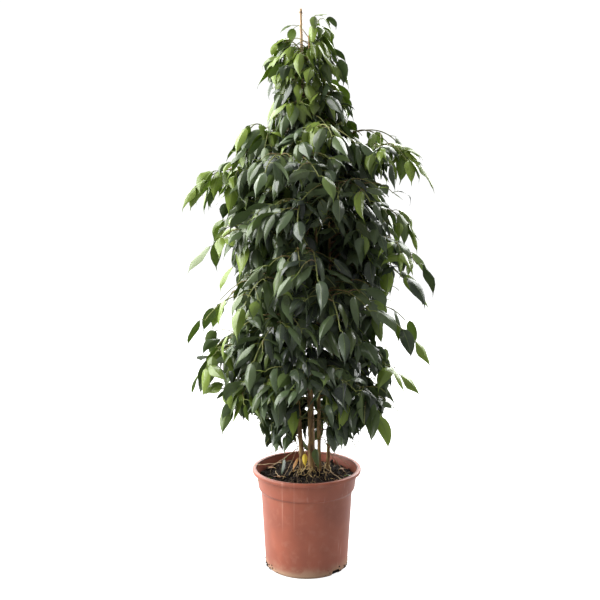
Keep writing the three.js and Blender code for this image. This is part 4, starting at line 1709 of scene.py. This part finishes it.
@dataclass
class SprayRule:
    """The part's rule for where its sprays, twigs and leaves are, repeated here in metres."""

    count: int = 44
    tip_heights: Range = (272 * MM, 1022 * MM)
    top_crowding: float = 0.86
    start_heights: Range = (226 * MM, 990 * MM)
    leaf_hang: float = 30 * MM
    leaf_spread: float = 36 * MM
    reach_shares: Range = (0.9, 1.02)
    outline_reach: float = 1.03
    shortest_reach: float = 24 * MM
    lift: Range = (26 * MM, -44 * MM)
    lift_heights: Range = (380 * MM, 860 * MM)
    lift_spread: float = 16 * MM
    lift_per_reach: float = 200 * MM
    least_lift: float = 0.8
    choices: int = 24
    turn_weight: float = 110 * MM
    height_weight: float = 1.3
    tries: int = 6
    nudge: float = 9 * MM
    stem_share: float = 0.8
    thickest: float = 2.1
    rises: Range = (0.34, 0.46)
    side_start: float = 0.4
    side_shares: Range = (0.42, 0.56)
    side_turns: Range = (0.64, 1.0)
    side_rise: float = 0.18
    side_drop: float = 0.32
    lengths: Range = (58 * MM, 76 * MM)
    main_slots: tuple[float, ...] = (0.34, 0.5, 0.66, 0.82)
    side_slots: tuple[float, ...] = (0.55,)
    last_slot: float = 0.985
    swings: Range = (0.55, 1.25)
    last_swing: float = 0.15
    falls: Range = (0.58, 1.22)
    bends: Range = (0.25, 0.6)
    rolls: Range = (-0.45, 0.45)
    leaf_tries: int = 7
    retry_swing: float = 0.5
    retry_fall: float = 0.12
    slimness: float = 0.42
    stalk: float = 12 * MM

    def lay_out(self) -> list[Spray]:
        """A tip height and a heading for every spray, in the part's order."""
        shares = ((np.arange(self.count) + 0.5) / self.count) ** self.top_crowding
        laid = [Spray(i, between(*self.tip_heights, share)) for i, share in enumerate(shares)]
        for tip_z, degrees in OUTLINE_SPRAYS:
            free = [spray for spray in laid if spray.angle is None]
            nearest = min(free, key=lambda spray: abs(spray.tip_z - tip_z * MM))
            nearest.tip_z, nearest.angle, nearest.outer = tip_z * MM, math.radians(degrees), True
        for spray in laid:
            if spray.angle is None:
                spray.angle = self.roomiest(spray, [other for other in laid if other.angle is not None])
        return laid

    def roomiest(self, spray: Spray, others: list[Spray]) -> float:
        """The heading, of the choices, that lies furthest from the sprays around.

        Args:
            spray: The spray.
            others: The sprays that have a heading.

        Returns:
            The heading, in radians.
        """
        angles = [TURN * (k + draw(spray.number, k, 7)) / self.choices for k in range(self.choices)]
        turns = np.abs(np.subtract.outer(angles, [other.angle for other in others])) % TURN
        turns = np.minimum(turns, TURN - turns) * self.turn_weight
        drops = (spray.tip_z - np.array([other.tip_z for other in others])) * self.height_weight
        return angles[int(np.hypot(turns, drops).min(1).argmax())]

    def main_twig(self, spray: Spray, attempt: int) -> Twig:
        """A spray's main twig at one of the part's tries, which move its start up and down.

        Args:
            spray: The spray.
            attempt: The try, from 0.

        Returns:
            The twig.
        """
        out = heading(spray.angle)
        reach = float(crown_reach(spray.tip_z - self.leaf_hang, spray.angle)) - self.leaf_spread
        share = self.outline_reach if spray.outer else between(*self.reach_shares, draw(spray.number, 1))
        full = max(reach * share, self.shortest_reach)
        tip = out * full + CROWN_AXIS + UP * spray.tip_z
        low, high = self.lift_heights
        height = min(max((spray.tip_z - low) / (high - low), 0), 1)
        scatter = self.lift_spread * (draw(spray.number, 2) - 0.5)
        lift = (between(*self.lift, height) + scatter) * max(full / self.lift_per_reach, self.least_lift)
        nudge = self.nudge * math.ceil(attempt / 2) * (1 if attempt % 2 == 0 else -1)
        start_z = float(np.clip(spray.tip_z + lift + nudge, *self.start_heights))
        stem = stem_facing(start_z, out)
        start = stem.centre(start_z / MM)
        level = (tip - start) * [1, 1, 0]
        rise = between(*self.rises, draw(spray.number, 3))
        thick = min(self.thickest, self.stem_share * float(stem_radius(stem, start_z / MM))) * MM
        span = float(np.linalg.norm(level))
        return Twig.grown(start, tip, unit(level), span, rise, Bend.MAIN, 5, thick, 1.3 * MM)

    def side_twig(self, main: Twig, number: int) -> Twig:
        """The side twig of a spray's number, which forks off to one side of its main twig, and weeps.

        Args:
            main: The main twig.
            number: The spray's number.

        Returns:
            The twig.
        """
        start = main.coarse(self.side_start)
        side = 1 if number % 2 == 0 else -1
        away = turned(main.away, UP, side * between(*self.side_turns, draw(number, 4)))
        span = main.span * between(*self.side_shares, draw(number, 5))
        tip = start + away * span - UP * self.side_drop * span
        return Twig.grown(start, tip, away, span, self.side_rise, Bend.SIDE, 2, 1.4 * MM, 1.2 * MM)

    def leaf_row(
        self, twig: Twig, share: float, swing: float, keys: tuple[int, ...], attempt: int
    ) -> dict[str, Number]:
        """The pose of one of the part's leaves at one of its tries.

        Args:
            twig: Where it hangs.
            share: Its place down the twig.
            swing: Which side it turns to.
            keys: The numbers of its spray, twig and slot.
            attempt: The try, from 0.

        Returns:
            What the leaf has, by the names that Leaves gives them.
        """
        more_swing, more_fall = (attempt * (draw(*keys, attempt, key) - 0.5) for key in (12, 15))
        turn = swing * between(*self.swings, draw(*keys, 11)) + self.retry_swing * more_swing
        return {
            "root": twig.coarse(share),
            "out": turned(twig.flat_way(share), UP, turn),
            "length": between(*self.lengths, draw(*keys, 13)),
            "fall": between(*self.falls, draw(*keys, 14)) + self.retry_fall * more_fall,
            "bend": between(*self.bends, draw(*keys, 16)),
            "roll": between(*self.rolls, draw(*keys, 17)),
            "stalk": self.stalk,
        }

    def slots(self, branch: int) -> list[tuple[int, float, float]]:
        """The slots of the main twig, 0, or the side twig, 1: their number, place and swing.

        Args:
            branch: Which twig.

        Returns:
            One row a slot.
        """
        places = self.main_slots if branch == 0 else self.side_slots
        found = [(k, place, 1.0 if (k + branch) % 2 == 0 else -1.0) for k, place in enumerate(places)]
        return found + [(len(places), self.last_slot, self.last_swing)]


def stem_facing(z: float, out: Array) -> Pole:
    """The stem that stands furthest out in a direction at a height."""
    standing = [stem for stem in STEMS if stem.top_z > z / MM + 8]
    return max(standing, key=lambda stem: float(stem.centre(z / MM) @ out))


@dataclass
class Crown:
    """Every twig and leaf of the plant."""

    rule: SprayRule
    internode: float = 15 * MM
    side_pitch: float = 21 * MM
    side_lengths: Range = (36 * MM, 88 * MM)
    side_tries: int = 4
    inner_shoots: int = 225
    inner_heights: Range = (0.240, 0.995)
    inner_spans: Range = (30 * MM, 120 * MM)
    forks_from: float = 60 * MM
    bands: int = 5
    choices: int = 9
    lengths: Range = (40 * MM, 74 * MM)
    stalks: Range = (8 * MM, 13 * MM)
    cell: float = 7 * MM
    pole_room: float = 6 * MM
    lowest: float = 207 * MM
    lowest_inside: float = 190 * MM
    mouth: float = 78 * MM
    box_room: float = 1.5 * MM
    spill: float = 9 * MM
    thins_past: float = 0.66
    zigzag: float = 0.45 * MM
    sprays: list[Spray] = field(default_factory=list)
    shoots: list[Spray] = field(default_factory=list)
    taken: set[tuple[int, ...]] = field(default_factory=set)

    def grow(self) -> None:
        """Regrows the part's sprays, then fills them with finer twigs and more leaves."""
        self.sprays = self.rule.lay_out()
        for spray in self.sprays:
            self.match(spray)
        for spray in self.sprays:
            self.fill(spray)
        self.grow_shoots()
        counts = [len(part.length) for spray in self.sprays + self.shoots for part in spray.parts]
        LOG.info("leaves: %d", sum(counts))

    def match(self, spray: Spray) -> None:
        """Finds which of the part's tries its node holds, for the twigs and for every leaf.

        Args:
            spray: The spray, which it changes.
        """
        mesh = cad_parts[spray.name].data
        corners = np.zeros(len(mesh.vertices) * 3)
        mesh.vertices.foreach_get("co", corners)
        spray.node_points = corners.reshape(-1, 3)
        tries = [self.rule.main_twig(spray, attempt) for attempt in range(self.rule.tries)]
        spray.main = max(tries, key=lambda twig: spray.holds(twig.coarse_rings()[2:]).sum())
        side = self.rule.side_twig(spray.main, spray.number)
        if spray.holds(side.coarse_rings()[1:]).sum() >= 2:
            spray.side = side
        rows = []
        for branch, twig in enumerate([spray.main, spray.side]):
            if twig is None:
                continue
            for slot, share, swing in self.rule.slots(branch):
                row = self.matched_leaf(spray, twig, share, swing, (spray.number, branch, slot))
                if row is not None:
                    rows.append({**row, "root": twig.curve(share)})
        self.dress_held(Leaves.gather(rows), spray)

    def matched_leaf(
        self, spray: Spray, twig: Twig, share: float, swing: float, keys: tuple[int, ...]
    ) -> dict[str, Number] | None:
        """The leaf at a slot whose drip tip the node's mesh holds, or None.

        Args:
            spray: Its spray.
            twig: Where it hangs.
            share: Its place down the twig.
            swing: Which side it turns to.
            keys: The numbers of its spray, twig and slot.

        Returns:
            What the leaf has, or None.
        """
        rows = [self.rule.leaf_row(twig, share, swing, keys, k) for k in range(self.rule.leaf_tries)]
        tips = midrib(Leaves.gather(rows), np.array([1.0]))[0][:, 0]
        found = np.flatnonzero(spray.holds(tips))
        return rows[found[0]] if len(found) else None

    def dress_held(self, held: Leaves, spray: Spray) -> None:
        """Shapes the part's own leaves: they arch and roll more, and are smaller high up and inside.

        Args:
            held: The leaves, which it changes.
            spray: Their spray.
        """
        rng = np.random.default_rng([SEED, spray.number])
        self.style(held, spray, rng, 0.0)
        high = smooth(0.6, 0.95, held.root[:, 2])
        held.slimness = self.rule.slimness * rng.uniform(0.9, 1.05, len(high))
        held.length = held.length * (0.98 - 0.1 * high if spray.outer else 0.93 - 0.18 * high)
        arch = rng.uniform(0.2, 1.0, len(high)) * (0.5 if spray.outer else 1.0)
        held.fall, held.bend = held.fall - 0.5 * arch, held.bend + arch
        held.roll += rng.choice([-1, 1], len(high)) * rng.uniform(0.2, 0.8, len(high))
        held.sweep *= 0.5
        spray.parts.append(held)
        self.taken.update(map(tuple, self.cells(held).reshape(-1, 3)))

    def style(self, leaves: Leaves, spray: Spray, rng: Rng, youth: float) -> None:
        """Gives leaves their forms and ages. Those high up, and far out at the sides, are younger. On the
        left side, where the key light falls, more age and a lighter tone are painted light; a lighter tone
        near the crown's edge and a darker one deep inside it are painted light and shade.

        Args:
            leaves: The leaves, which it changes.
            spray: The spray that they belong to.
            rng: For their forms.
            youth: How much more often than usual they are young.
        """
        count = len(leaves.root)
        off = (leaves.root - CROWN_AXIS) * [1, 1, 0]
        reach = crown_reach(leaves.root[:, 2], np.arctan2(off[:, 1], off[:, 0]))
        outer = smooth(0.45, 1.0, np.linalg.norm(off, axis=1) / reach)
        high = smooth(0.7, 1.0, leaves.root[:, 2])
        side = smooth(0.06, 0.18, np.abs(off[:, 0])) * np.where(off[:, 0] < 0, 1.15, 0.85)
        side *= between(0.6, 1.0, smooth(0.35, 0.65, leaves.root[:, 2]))
        chance = 0.75 * high + 1.25 * outer * side + youth + spray.youth()
        young = rng.beta(4.5, 1.8, count)
        # Painted light: leaves on the left, where the key light falls, get more age and a lighter tone
        lit = smooth(0.0, 0.14, -off[:, 0])
        leaves.age = np.where(rng.uniform(0, 1, count) < chance, young, rng.beta(1.2, 8, count) + 0.11 * lit)
        varied = smooth(0.08, 0.68, rng.beta(1.5, 2.5, count))
        # Painted light and shade in the tone: lighter on the lit left and at the crown's edge, darker deep
        # inside the crown
        leaves.tint = np.clip(varied + 0.3 * lit + 0.5 * outer - 0.25, 0, 1)
        leaves.slimness = rng.uniform(0.36, 0.49, count) + 0.06 * high
        leaves.fold = rng.uniform(0.12, 0.62, count)
        leaves.wave = rng.uniform(0.04, 0.24, count)
        leaves.phase = rng.uniform(0, TURN, count)
        leaves.sweep = rng.normal(0, 0.13, count)

    def probe(self, leaves: Leaves) -> Array:
        """Five points down the middle of each leaf's blade."""
        return midrib(leaves, np.array([0.12, 0.35, 0.58, 0.8, 1.0]))[0]

    def cells(self, leaves: Leaves) -> Array:
        """The small cubes of space that the blades pass through, by their whole-number places."""
        return np.floor(self.probe(leaves) / self.cell).astype(int)

    def allowed(self, leaves: Leaves) -> Array:
        """Which leaves are inside the crown and the CAD box, and clear of the poles and the pot."""
        points = self.probe(leaves)
        return self.in_crown(points) & self.in_box(leaves, points) & self.clear(points)

    def in_crown(self, points: Array) -> Array:
        """Which blades are inside the crown's edge.

        The edge has bays and notches in it, each a sum of waves over its height and sides, and the
        hollows. Near the top the outer leaves thin out and may spill a little past it, and low down
        gaps open.

        Args:
            points: Points down the blades' middles, shaped (leaves, points, 3).

        Returns:
            True or False for each leaf.
        """
        off, z, middle = points - CROWN_AXIS, points[..., 2], points[:, 2]
        away = np.linalg.norm(off[..., :2], axis=-1)
        angle = np.arctan2(off[..., 1], off[..., 0])
        reach = crown_reach(z, angle)
        bays = ripple(off.reshape(-1, 3) * [1, 1, 1.6], 0.15, 31, 6).reshape(away.shape)[:, -1:]
        notches = ripple(middle * [1, 1, 1.4], 0.055, 33, 6)[:, None]
        for way, wide, level, tall, depth in HOLLOWS:
            turn = np.abs((angle - way + math.pi) % TURN - math.pi)
            beside, past = smooth(0.4 * wide, wide, turn), smooth(0.5 * tall, tall, np.abs(z / MM - level))
            reach = reach * (1 - depth * (1 - beside) * (1 - past))
        spill = self.spill * (smooth(0.9, 0.98, z) + smooth(1.0, 1.03, z))
        fine = (away < reach * np.minimum(1.02, 0.85 + 0.24 * bays + 0.18 * notches) + spill).all(1)
        airy = ripple(middle, 0.05, 41, 6) > between(-0.12, 1.2, smooth(0.9, 1.0, z[:, 0]))
        fine &= (away[:, -1] < self.thins_past * reach[:, -1]) | ~airy
        gaps = ripple(middle, 0.085, 37, 6) > between(-0.15, 1.2, smooth(0.25, 0.37, z[:, 2]))
        return fine & ~gaps

    def in_box(self, leaves: Leaves, points: Array) -> Array:
        """Which leaves, of given points down their middles, stay inside the CAD box at full width.

        Args:
            leaves: The leaves.
            points: Points down their middles.

        Returns:
            True or False for each leaf.
        """
        (*low, _), (*high, top) = CAD_BOX
        half = (leaves.length * leaves.slimness / 2)[:, None, None] + self.box_room
        margin = np.tile(half, (1, points.shape[1], 1))
        margin[:, -1] = self.box_room
        level = points[..., :2]
        fine = (level - margin > low).all((1, 2)) & (level + margin < high).all((1, 2))
        return fine & (points[..., 2] < top - self.box_room * 2).all(1)

    def clear(self, points: Array) -> Array:
        """Which blades hang in no window, and clear of the poles, the pot and the soil.

        Args:
            points: Points down the blades' middles.

        Returns:
            True or False for each leaf.
        """
        x, y, z = np.moveaxis(points, -1, 0)
        away = np.linalg.norm((points - CROWN_AXIS)[..., :2], axis=-1)
        fine = (z > np.where(away < self.mouth, self.lowest_inside, self.lowest)).all(1)
        for left, right, foot, top, before in WINDOWS:
            fine &= ~((x > left) & (x < right) & (z > foot) & (z < top) & (y < before)).any(1)
        for pole in [*STEMS, CANE]:
            fine &= (pole.off(points) > self.pole_room).all(1)
        return fine

    def hang(self, spray: Spray, twig: Twig, shares: Array, swings: Array, rng: Rng, youth: float) -> int:
        """Hangs new leaves at shares of a twig, each at the first of its choices that has room.

        Args:
            spray: What the leaves are noted in.
            twig: Where they hang.
            shares: Places down the twig.
            swings: Which side each leaf turns to, 1 or -1, or a smaller number for one at the tip.
            rng: For the choices.
            youth: How much more often than usual they are young.

        Returns:
            How many leaves were hung.
        """
        picks = np.repeat(shares, self.choices)
        count = len(picks)
        root = twig.curve(picks)
        turn = np.repeat(swings, self.choices) * rng.uniform(0.2, 1.9, count)
        way = twig.curve(np.minimum(picks + 0.03, 1)) - twig.curve(picks - 0.03)
        fall = rng.uniform(-0.35, 1.2, count)
        small = 1 - 0.13 * smooth(0.6, 0.9, root[:, 2])
        none = np.zeros(count)
        leaves = Leaves(
            root=root, out=turned(unit(way * [1, 1, 0]), np.broadcast_to(UP, root.shape), turn),
            length=rng.uniform(*self.lengths, count) * (1 - 0.12 * picks) * small, fall=fall,
            bend=np.maximum(rng.uniform(0.75, 2.1, count) - fall, 0.25),
            roll=rng.uniform(-1.35, 1.35, count), slimness=none, fold=none, wave=none, phase=none,
            sweep=none, stalk=rng.uniform(*self.stalks, count), age=none, tint=none,
        )
        self.style(leaves, spray, rng, youth)
        fine = self.allowed(leaves)
        cells = self.cells(leaves)
        chosen = []
        for start in range(0, count, self.choices):
            for number in start + np.flatnonzero(fine[start:start + self.choices]):
                mine = set(map(tuple, cells[number]))
                if not mine & self.taken:
                    self.taken |= mine
                    chosen.append(number)
                    break
        if chosen:
            spray.parts.append(leaves.pick(np.array(chosen)))
        return len(chosen)

    def leaf_twig(self, spray: Spray, twig: Twig, rng: Rng, first: float) -> int:
        """Hangs leaves down a twig in turn at its two sides, and one or two at its tip.

        Args:
            spray: What the leaves are noted in.
            twig: Where they hang.
            rng: For their places.
            first: The share of the twig where they begin.

        Returns:
            How many leaves were hung.
        """
        wider = 1 + 1.1 * float(smooth(0.82, 0.95, twig.corners[0][2]))
        pitch = self.internode * wider / twig.arc_length()
        shares = np.arange(first, 0.95, pitch)
        shares = np.clip(shares + rng.uniform(-0.2, 0.2, len(shares)) * pitch, 0.05, 0.96)
        swings = np.where(np.arange(len(shares)) % 2 == 0, 1.0, -1.0)
        shares, swings = np.append(shares, [0.97, 0.99]), np.append(swings, [0.3, -0.3])
        return self.hang(spray, twig, shares, swings, rng, 0.0)

    def fill(self, spray: Spray) -> None:
        """Adds leaves to the spray's own twigs, and finer side twigs with leaves of their own.

        Args:
            spray: The spray, which it changes.
        """
        rng = np.random.default_rng([SEED, spray.number, FILL_DRAWS])
        self.leaf_twig(spray, spray.main, rng, 0.12)
        if spray.side is not None:
            self.leaf_twig(spray, spray.side, rng, 0.2)
            self.branch(spray, spray.side, 0.45, 1, rng)
            self.branch(spray, spray.side, 0.7, -1, rng)
        length = spray.main.arc_length()
        starts = np.arange(0.14 * length, 0.93 * length, self.side_pitch) / length
        for number, share in enumerate(starts):
            side = 1 if (number + spray.number) % 2 == 0 else -1
            self.branch(spray, spray.main, float(share), side, rng)

    def branch(self, spray: Spray, parent: Twig, share: float, side: int, rng: Rng) -> None:
        """Grows one fine side twig with leaves, shorter towards its parent's tip.

        Args:
            spray: What it is noted in.
            parent: The twig that it leaves.
            share: Where it leaves it.
            side: Which side it turns to, 1 or -1.
            rng: For its form.
        """
        start = parent.curve(share)
        away = turned(parent.away, UP, side * rng.uniform(0.5, 1.3))
        span = rng.uniform(*self.side_lengths) * between(1.1, 0.65, share)
        drop = rng.uniform(-0.1, 0.5)
        for _ in range(self.side_tries):
            tip = start + away * span - UP * drop * span
            off = tip - CROWN_AXIS
            reach = float(crown_reach(tip[2], math.atan2(off[1], off[0])))
            if np.linalg.norm(off[:2]) < reach - 20 * MM and tip[2] > self.lowest + 22 * MM:
                break
            span *= 0.7
        else:
            return
        twig = Twig.grown(start, tip, away, span, rng.uniform(0.1, 0.35), Bend.SIDE, 2, 0.95 * MM, 0.8 * MM)
        if self.leaf_twig(spray, twig, rng, 0.2):
            spray.extra.append(twig)
            if rng.uniform() < 0.4:
                self.add_bud(spray, twig, rng)

    def add_bud(self, spray: Spray, twig: Twig, rng: Rng) -> None:
        """A rolled new leaf that points on from a twig's tip.

        Args:
            spray: What it is noted in.
            twig: Where it sits.
            rng: For its form.
        """
        bud = Leaves.gather([{
            "root": twig.curve(0.97), "out": twig.flat_way(0.97), "length": rng.uniform(12, 24) * MM,
            "fall": rng.uniform(-0.5, 0.7), "bend": 0.3, "stalk": 2 * MM, "age": 0.95, "slimness": 0.15,
            "fold": 0.9, "tint": 0.5,
        }])
        if self.probe(bud)[..., 2].max() < CAD_BOX[1][2] - 4 * MM:
            spray.parts.append(bud)

    def grow_shoots(self) -> None:
        """Grows the shoots that leave the stems: the inner ones, the stems' ends and the placed ones."""
        self.shoots = [Spray(INNER + band, 0.0) for band in range(self.bands)]
        for number in range(self.inner_shoots):
            self.grow_inner(number)
        for number, stem in enumerate(STEMS):
            self.grow_leader(self.shoots[-1], stem, np.random.default_rng([SEED, number, LEADER_DRAWS]))
        for band, places in ((0, LOW_SHOOTS), (2, GAP_SHOOTS), (-1, TOP_SHOOTS)):
            for number, (stem, z, angle, span, drop) in enumerate(places):
                start, out = STEMS[stem].centre(z), heading(angle)
                tip = start + out * span * MM - UP * drop * MM
                twig = Twig.grown(start, tip, out, span * MM, 0.3, Bend.SIDE, 3, 1.1 * MM, 0.9 * MM)
                rng = np.random.default_rng([SEED, number, PLACED_DRAWS])
                self.shoots[band].extra.append(twig)
                self.leaf_twig(self.shoots[band], twig, rng, 0.3)

    def grow_inner(self, number: int) -> None:
        """One of the short shoots, all round and all the way up, that fill the crown's inside.

        Args:
            number: Its number, counted upwards.
        """
        rng = np.random.default_rng([SEED, number, INNER_DRAWS])
        share = ((number + rng.uniform()) / self.inner_shoots) ** 1.08
        z = between(*self.inner_heights, share)
        angle = number * GOLDEN_ANGLE + rng.uniform(-0.3, 0.3)
        out = heading(angle)
        stem = stem_facing(z, out)
        start = stem.centre(z / MM)
        span = min(rng.uniform(*self.inner_spans), float(crown_reach(z, angle)) * rng.uniform(0.3, 0.72))
        tip = start + out * span + UP * span * rng.uniform(-0.35, 0.25)
        thick = min(1.3, 0.7 * float(stem_radius(stem, z / MM))) * MM
        twig = Twig.grown(start, tip, out, span, rng.uniform(0.2, 0.4), Bend.SIDE, 3, thick, 0.9 * MM)
        band = self.shoots[min(int(share * self.bands), self.bands - 1)]
        if self.leaf_twig(band, twig, rng, 0.2):
            band.extra.append(twig)
        if span > self.forks_from:
            side = 1 if number % 2 else -1
            self.branch(band, twig, 0.35, side, rng)
            self.branch(band, twig, 0.65, -side, rng)

    def grow_leader(self, band: Spray, stem: Pole, rng: Rng) -> None:
        """Carries a stem on past its top as a soft green shoot with small leaves and a bud.

        Args:
            band: What it is noted in.
            stem: The stem.
            rng: For its form.
        """
        start = stem.centre(stem.top_z)
        out = heading(rng.uniform(-1.2, -0.4) + (0 if stem.top[0] > -30 else -math.pi / 2))
        rise = min(34 * MM, CAD_BOX[1][2] - start[2] - 12 * MM)
        tip = start + out * 16 * MM + UP * rise
        twig = Twig.grown(start, tip, out, 20 * MM, 0.5, Bend.SIDE, 3, 1.4 * MM, MM)
        shares = np.array([0.05, 0.25, 0.45, 0.65, 0.8, 0.97])
        self.hang(band, twig, shares, np.array([-1.0, 1, -1.5, 1.5, -1, 0.3]), rng, 0.6)
        band.extra.append(twig)
        self.add_bud(band, twig, rng)

    def build(self, finishes: "Finishes") -> None:
        """Makes the leaves and the twigs of each spray, and of each band of shoots.

        Args:
            finishes: All the materials.
        """
        for spray in self.sprays + self.shoots:
            slot = "young_leaf" if spray.new_growth() else "leaf"
            nodes = (spray.name,) if spray.number < INNER else ()
            blades = leaf_shell(Leaves.join(spray.parts))
            settle(piece_from(spray.name + "_leaves", blades, finishes.leaf[slot]), nodes)
            settle(piece_from(spray.name + "_twigs", self.twig_shell(spray), finishes.twig), nodes)

    def twig_shell(self, spray: Spray) -> Shell:
        """All the twigs of a spray as slim round tubes with a slight zigzag from leaf to leaf.

        Args:
            spray: The spray.

        Returns:
            The closed surfaces.
        """
        shells = []
        for twigs, sections, sides in (([spray.main], 26, 6), ([spray.side] + spray.extra, 14, 5)):
            twigs = [twig for twig in twigs if twig is not None]
            if not twigs:
                continue
            share = np.linspace(0, 1, sections)
            level = np.array([np.cross(UP, twig.away) for twig in twigs])
            zigzag = self.zigzag * np.sin(share * sections * 1.3) * np.sin(math.pi * share)
            paths = np.array([twig.curve(share) for twig in twigs]) + level[:, None] * zigzag[:, None]
            thick, thin = np.array([[twig.thick * 0.9, twig.thin * 0.8] for twig in twigs]).T[..., None]
            radii = between(thick, thin, share**0.7) * (1 + 0.12 * np.sin(share * sections * 2.1))
            shells.append(tubes(paths, radii, sides, -level))
        return join_shells(shells)


# Studio


@dataclass
class Studio:
    """A plain pale floor, soft light from the upper left, and the photograph's camera."""

    camera_at: Place = (-0.0129, -1.7077, 0.757)
    tilt: float = 0.1371
    lens: float = 54.65
    sensor: float = 36.0
    fill: float = 0.42
    sheen: float = 0.52
    backdrop: float = 1.05
    lamps: tuple[tuple[str, Place, float, float], ...] = (
        ("key", (-2.6, -0.2, 1.8), 330.0, 3.4),
        ("panel_right", (1.2, 1.7, 2.1), 230.0, 2.6),
        ("panel_left", (-1.1, 2.1, 1.6), 90.0, 2.4),
    )
    aim: Place = (0, 0, 0.5)
    floor_half: float = 30.0
    floor_greys: Range = (0.29, 0.32)
    floor_glow: float = 0.95

    def build(self) -> None:
        """Sets up the camera, the lights, the surroundings and the floor."""
        scene = bpy.context.scene
        data = bpy.data.cameras.new("camera")
        data.lens, data.sensor_width = self.lens, self.sensor
        camera = bpy.data.objects.new("camera", data)
        camera.location = self.camera_at
        camera.rotation_euler = (math.pi / 2 - self.tilt, 0, 0)
        scene.collection.objects.link(camera)
        scene.camera = camera
        scene.view_settings.view_transform = "Standard"
        for name, at, power, size in self.lamps:
            self.light(name, at, power, size)
        self.surroundings(scene)
        self.floor()

    def light(self, name: str, at: Place, power: float, size: float) -> None:
        """A square soft light of a power and size, aimed at the middle of the plant.

        Args:
            name: Its name.
            at: Its place.
            power: Its power, in watts.
            size: Its side.
        """
        data = bpy.data.lights.new(name, "AREA")
        data.energy, data.size = power, size
        lamp = bpy.data.objects.new(name, data)
        lamp.location = at
        lamp.rotation_euler = (Vector(self.aim) - Vector(at)).to_track_quat("-Z", "Y").to_euler()
        lamp.visible_camera = False
        bpy.context.scene.collection.objects.link(lamp)

    def surroundings(self, scene: bpy.types.Scene) -> None:
        """White behind the plant, a dim even light from all round, and a brighter one in reflections.

        Args:
            scene: The scene that gets them.
        """
        world = bpy.data.worlds.new("studio")
        scene.world = world
        world.use_nodes = True
        world.node_tree.nodes.clear()
        sheet = Sheet(world.node_tree)
        rays = sheet.node("ShaderNodeLightPath", {})
        even, glossy, seen = (
            sheet.node("ShaderNodeBackground", {"Color": (1, 1, 1, 1), "Strength": strength})[0]
            for strength in (self.fill, self.sheen, self.backdrop)
        )
        shader = sheet.blend(rays["Is Glossy Ray"], even, glossy)
        shader = sheet.blend(rays["Is Camera Ray"], shader, seen)
        sheet.node("ShaderNodeOutputWorld", {"Surface": shader})

    def floor(self) -> None:
        """The floor: a wide pale sheet, lit a little by itself where the camera sees it."""
        wide = self.floor_half
        corners = np.array([(-wide, -wide, 0), (wide, -wide, 0), (wide, wide, 0), (-wide, wide, 0)])
        material, sheet = material_sheet("floor_pale")
        patch, _ = sheet.group(mottling(), Scale=3.0)
        dark, light = ((grey, grey, grey, 1) for grey in self.floor_greys)
        face = sheet.principled(sheet.mix(patch, dark, light), 0.9, None, 0.1)
        seen = sheet.node("ShaderNodeLightPath", {})["Is Camera Ray"]
        glow = sheet.node("ShaderNodeEmission", {"Strength": sheet.times(seen, self.floor_glow)})[0]
        sheet.finish(sheet.node("ShaderNodeAddShader", {0: face, 1: glow})[0])
        floor = piece_from("floor", Shell(corners, np.arange(4)[None], np.zeros((0, 3), int)), material)


# The whole plant


class Finishes:
    """All the materials, built once."""

    def __init__(self) -> None:
        """Builds each finish."""
        self.leaf = {
            "leaf": LeafFinish("leaf_glossy").build(),
            "young_leaf": LeafFinish("leaf_young", grown=(0.080, 0.140, 0.036, 1)).build(),
        }
        self.dry_leaf = LeafFinish(
            "leaf_dry", old=(0.15, 0.06, 0.02, 1), grown=(0.42, 0.15, 0.03, 1), fresh=(0.80, 0.62, 0.06, 1),
            below=(0.34, 0.20, 0.08, 1), rib=(0.45, 0.28, 0.10, 1), stalk=(0.35, 0.24, 0.08, 1),
            gloss_roughness=0.6,
        ).build()
        self.bark = WoodFinish(
            "bark_golden", light=(0.48, 0.315, 0.13, 1), dark=(0.165, 0.095, 0.042, 1)
        ).build()
        self.twig = WoodFinish(
            "twig_bark", light=(0.24, 0.16, 0.065, 1), dark=(0.10, 0.062, 0.026, 1),
            speck=(0.34, 0.25, 0.13, 1), greening=0.8, upright=1.0, soil_foot=0.0, soil_top=0.001,
        ).build()
        self.root = WoodFinish(
            "root_bark", light=(0.72, 0.54, 0.24, 1), dark=(0.26, 0.17, 0.075, 1), scale=60.0,
            soil_foot=0.150, soil_top=0.178,
        ).build()
        self.straw = WoodFinish(
            "straw", light=(0.36, 0.26, 0.14, 1), dark=(0.18, 0.115, 0.06, 1), soil_foot=0.0, soil_top=0.001
        ).build()
        self.bamboo = BambooFinish("bamboo_cane").build()
        self.pot = PlasticFinish("pot_plastic_terracotta").build()
        self.soil = SoilFinish("compost_crumbly").build()


def main() -> None:
    """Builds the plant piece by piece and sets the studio."""
    logging.basicConfig(level=logging.INFO, format="%(name)s %(message)s")
    Studio().build()
    finishes = Finishes()
    pot = Pot()
    settle(pot.build(finishes.pot), ("pot",))
    soil = Soil(pot)
    settle(soil.build(finishes.soil), ("soil",))
    settle(soil.crumbs(finishes.soil))
    settle(soil.threads(finishes.straw))
    litter = Litter(soil)
    settle(litter.surface_roots(finishes.root))
    settle(litter.straw(finishes.straw))
    settle(litter.fallen_leaves(finishes.dry_leaf, DEAD_LEAVES, "fallen_leaves_dry"))
    settle(litter.fallen_leaves(finishes.leaf["leaf"], GREEN_LITTER, "fallen_leaves_green"))
    poles = Poles()
    settle(poles.cane(finishes.bamboo), ("cane",))
    for stem in STEMS:
        settle(poles.stem(stem, finishes.bark), (stem.name,))
    crown = Crown(SprayRule())
    crown.grow()
    crown.build(finishes)
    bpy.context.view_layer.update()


if __name__ == "__main__":
    main()
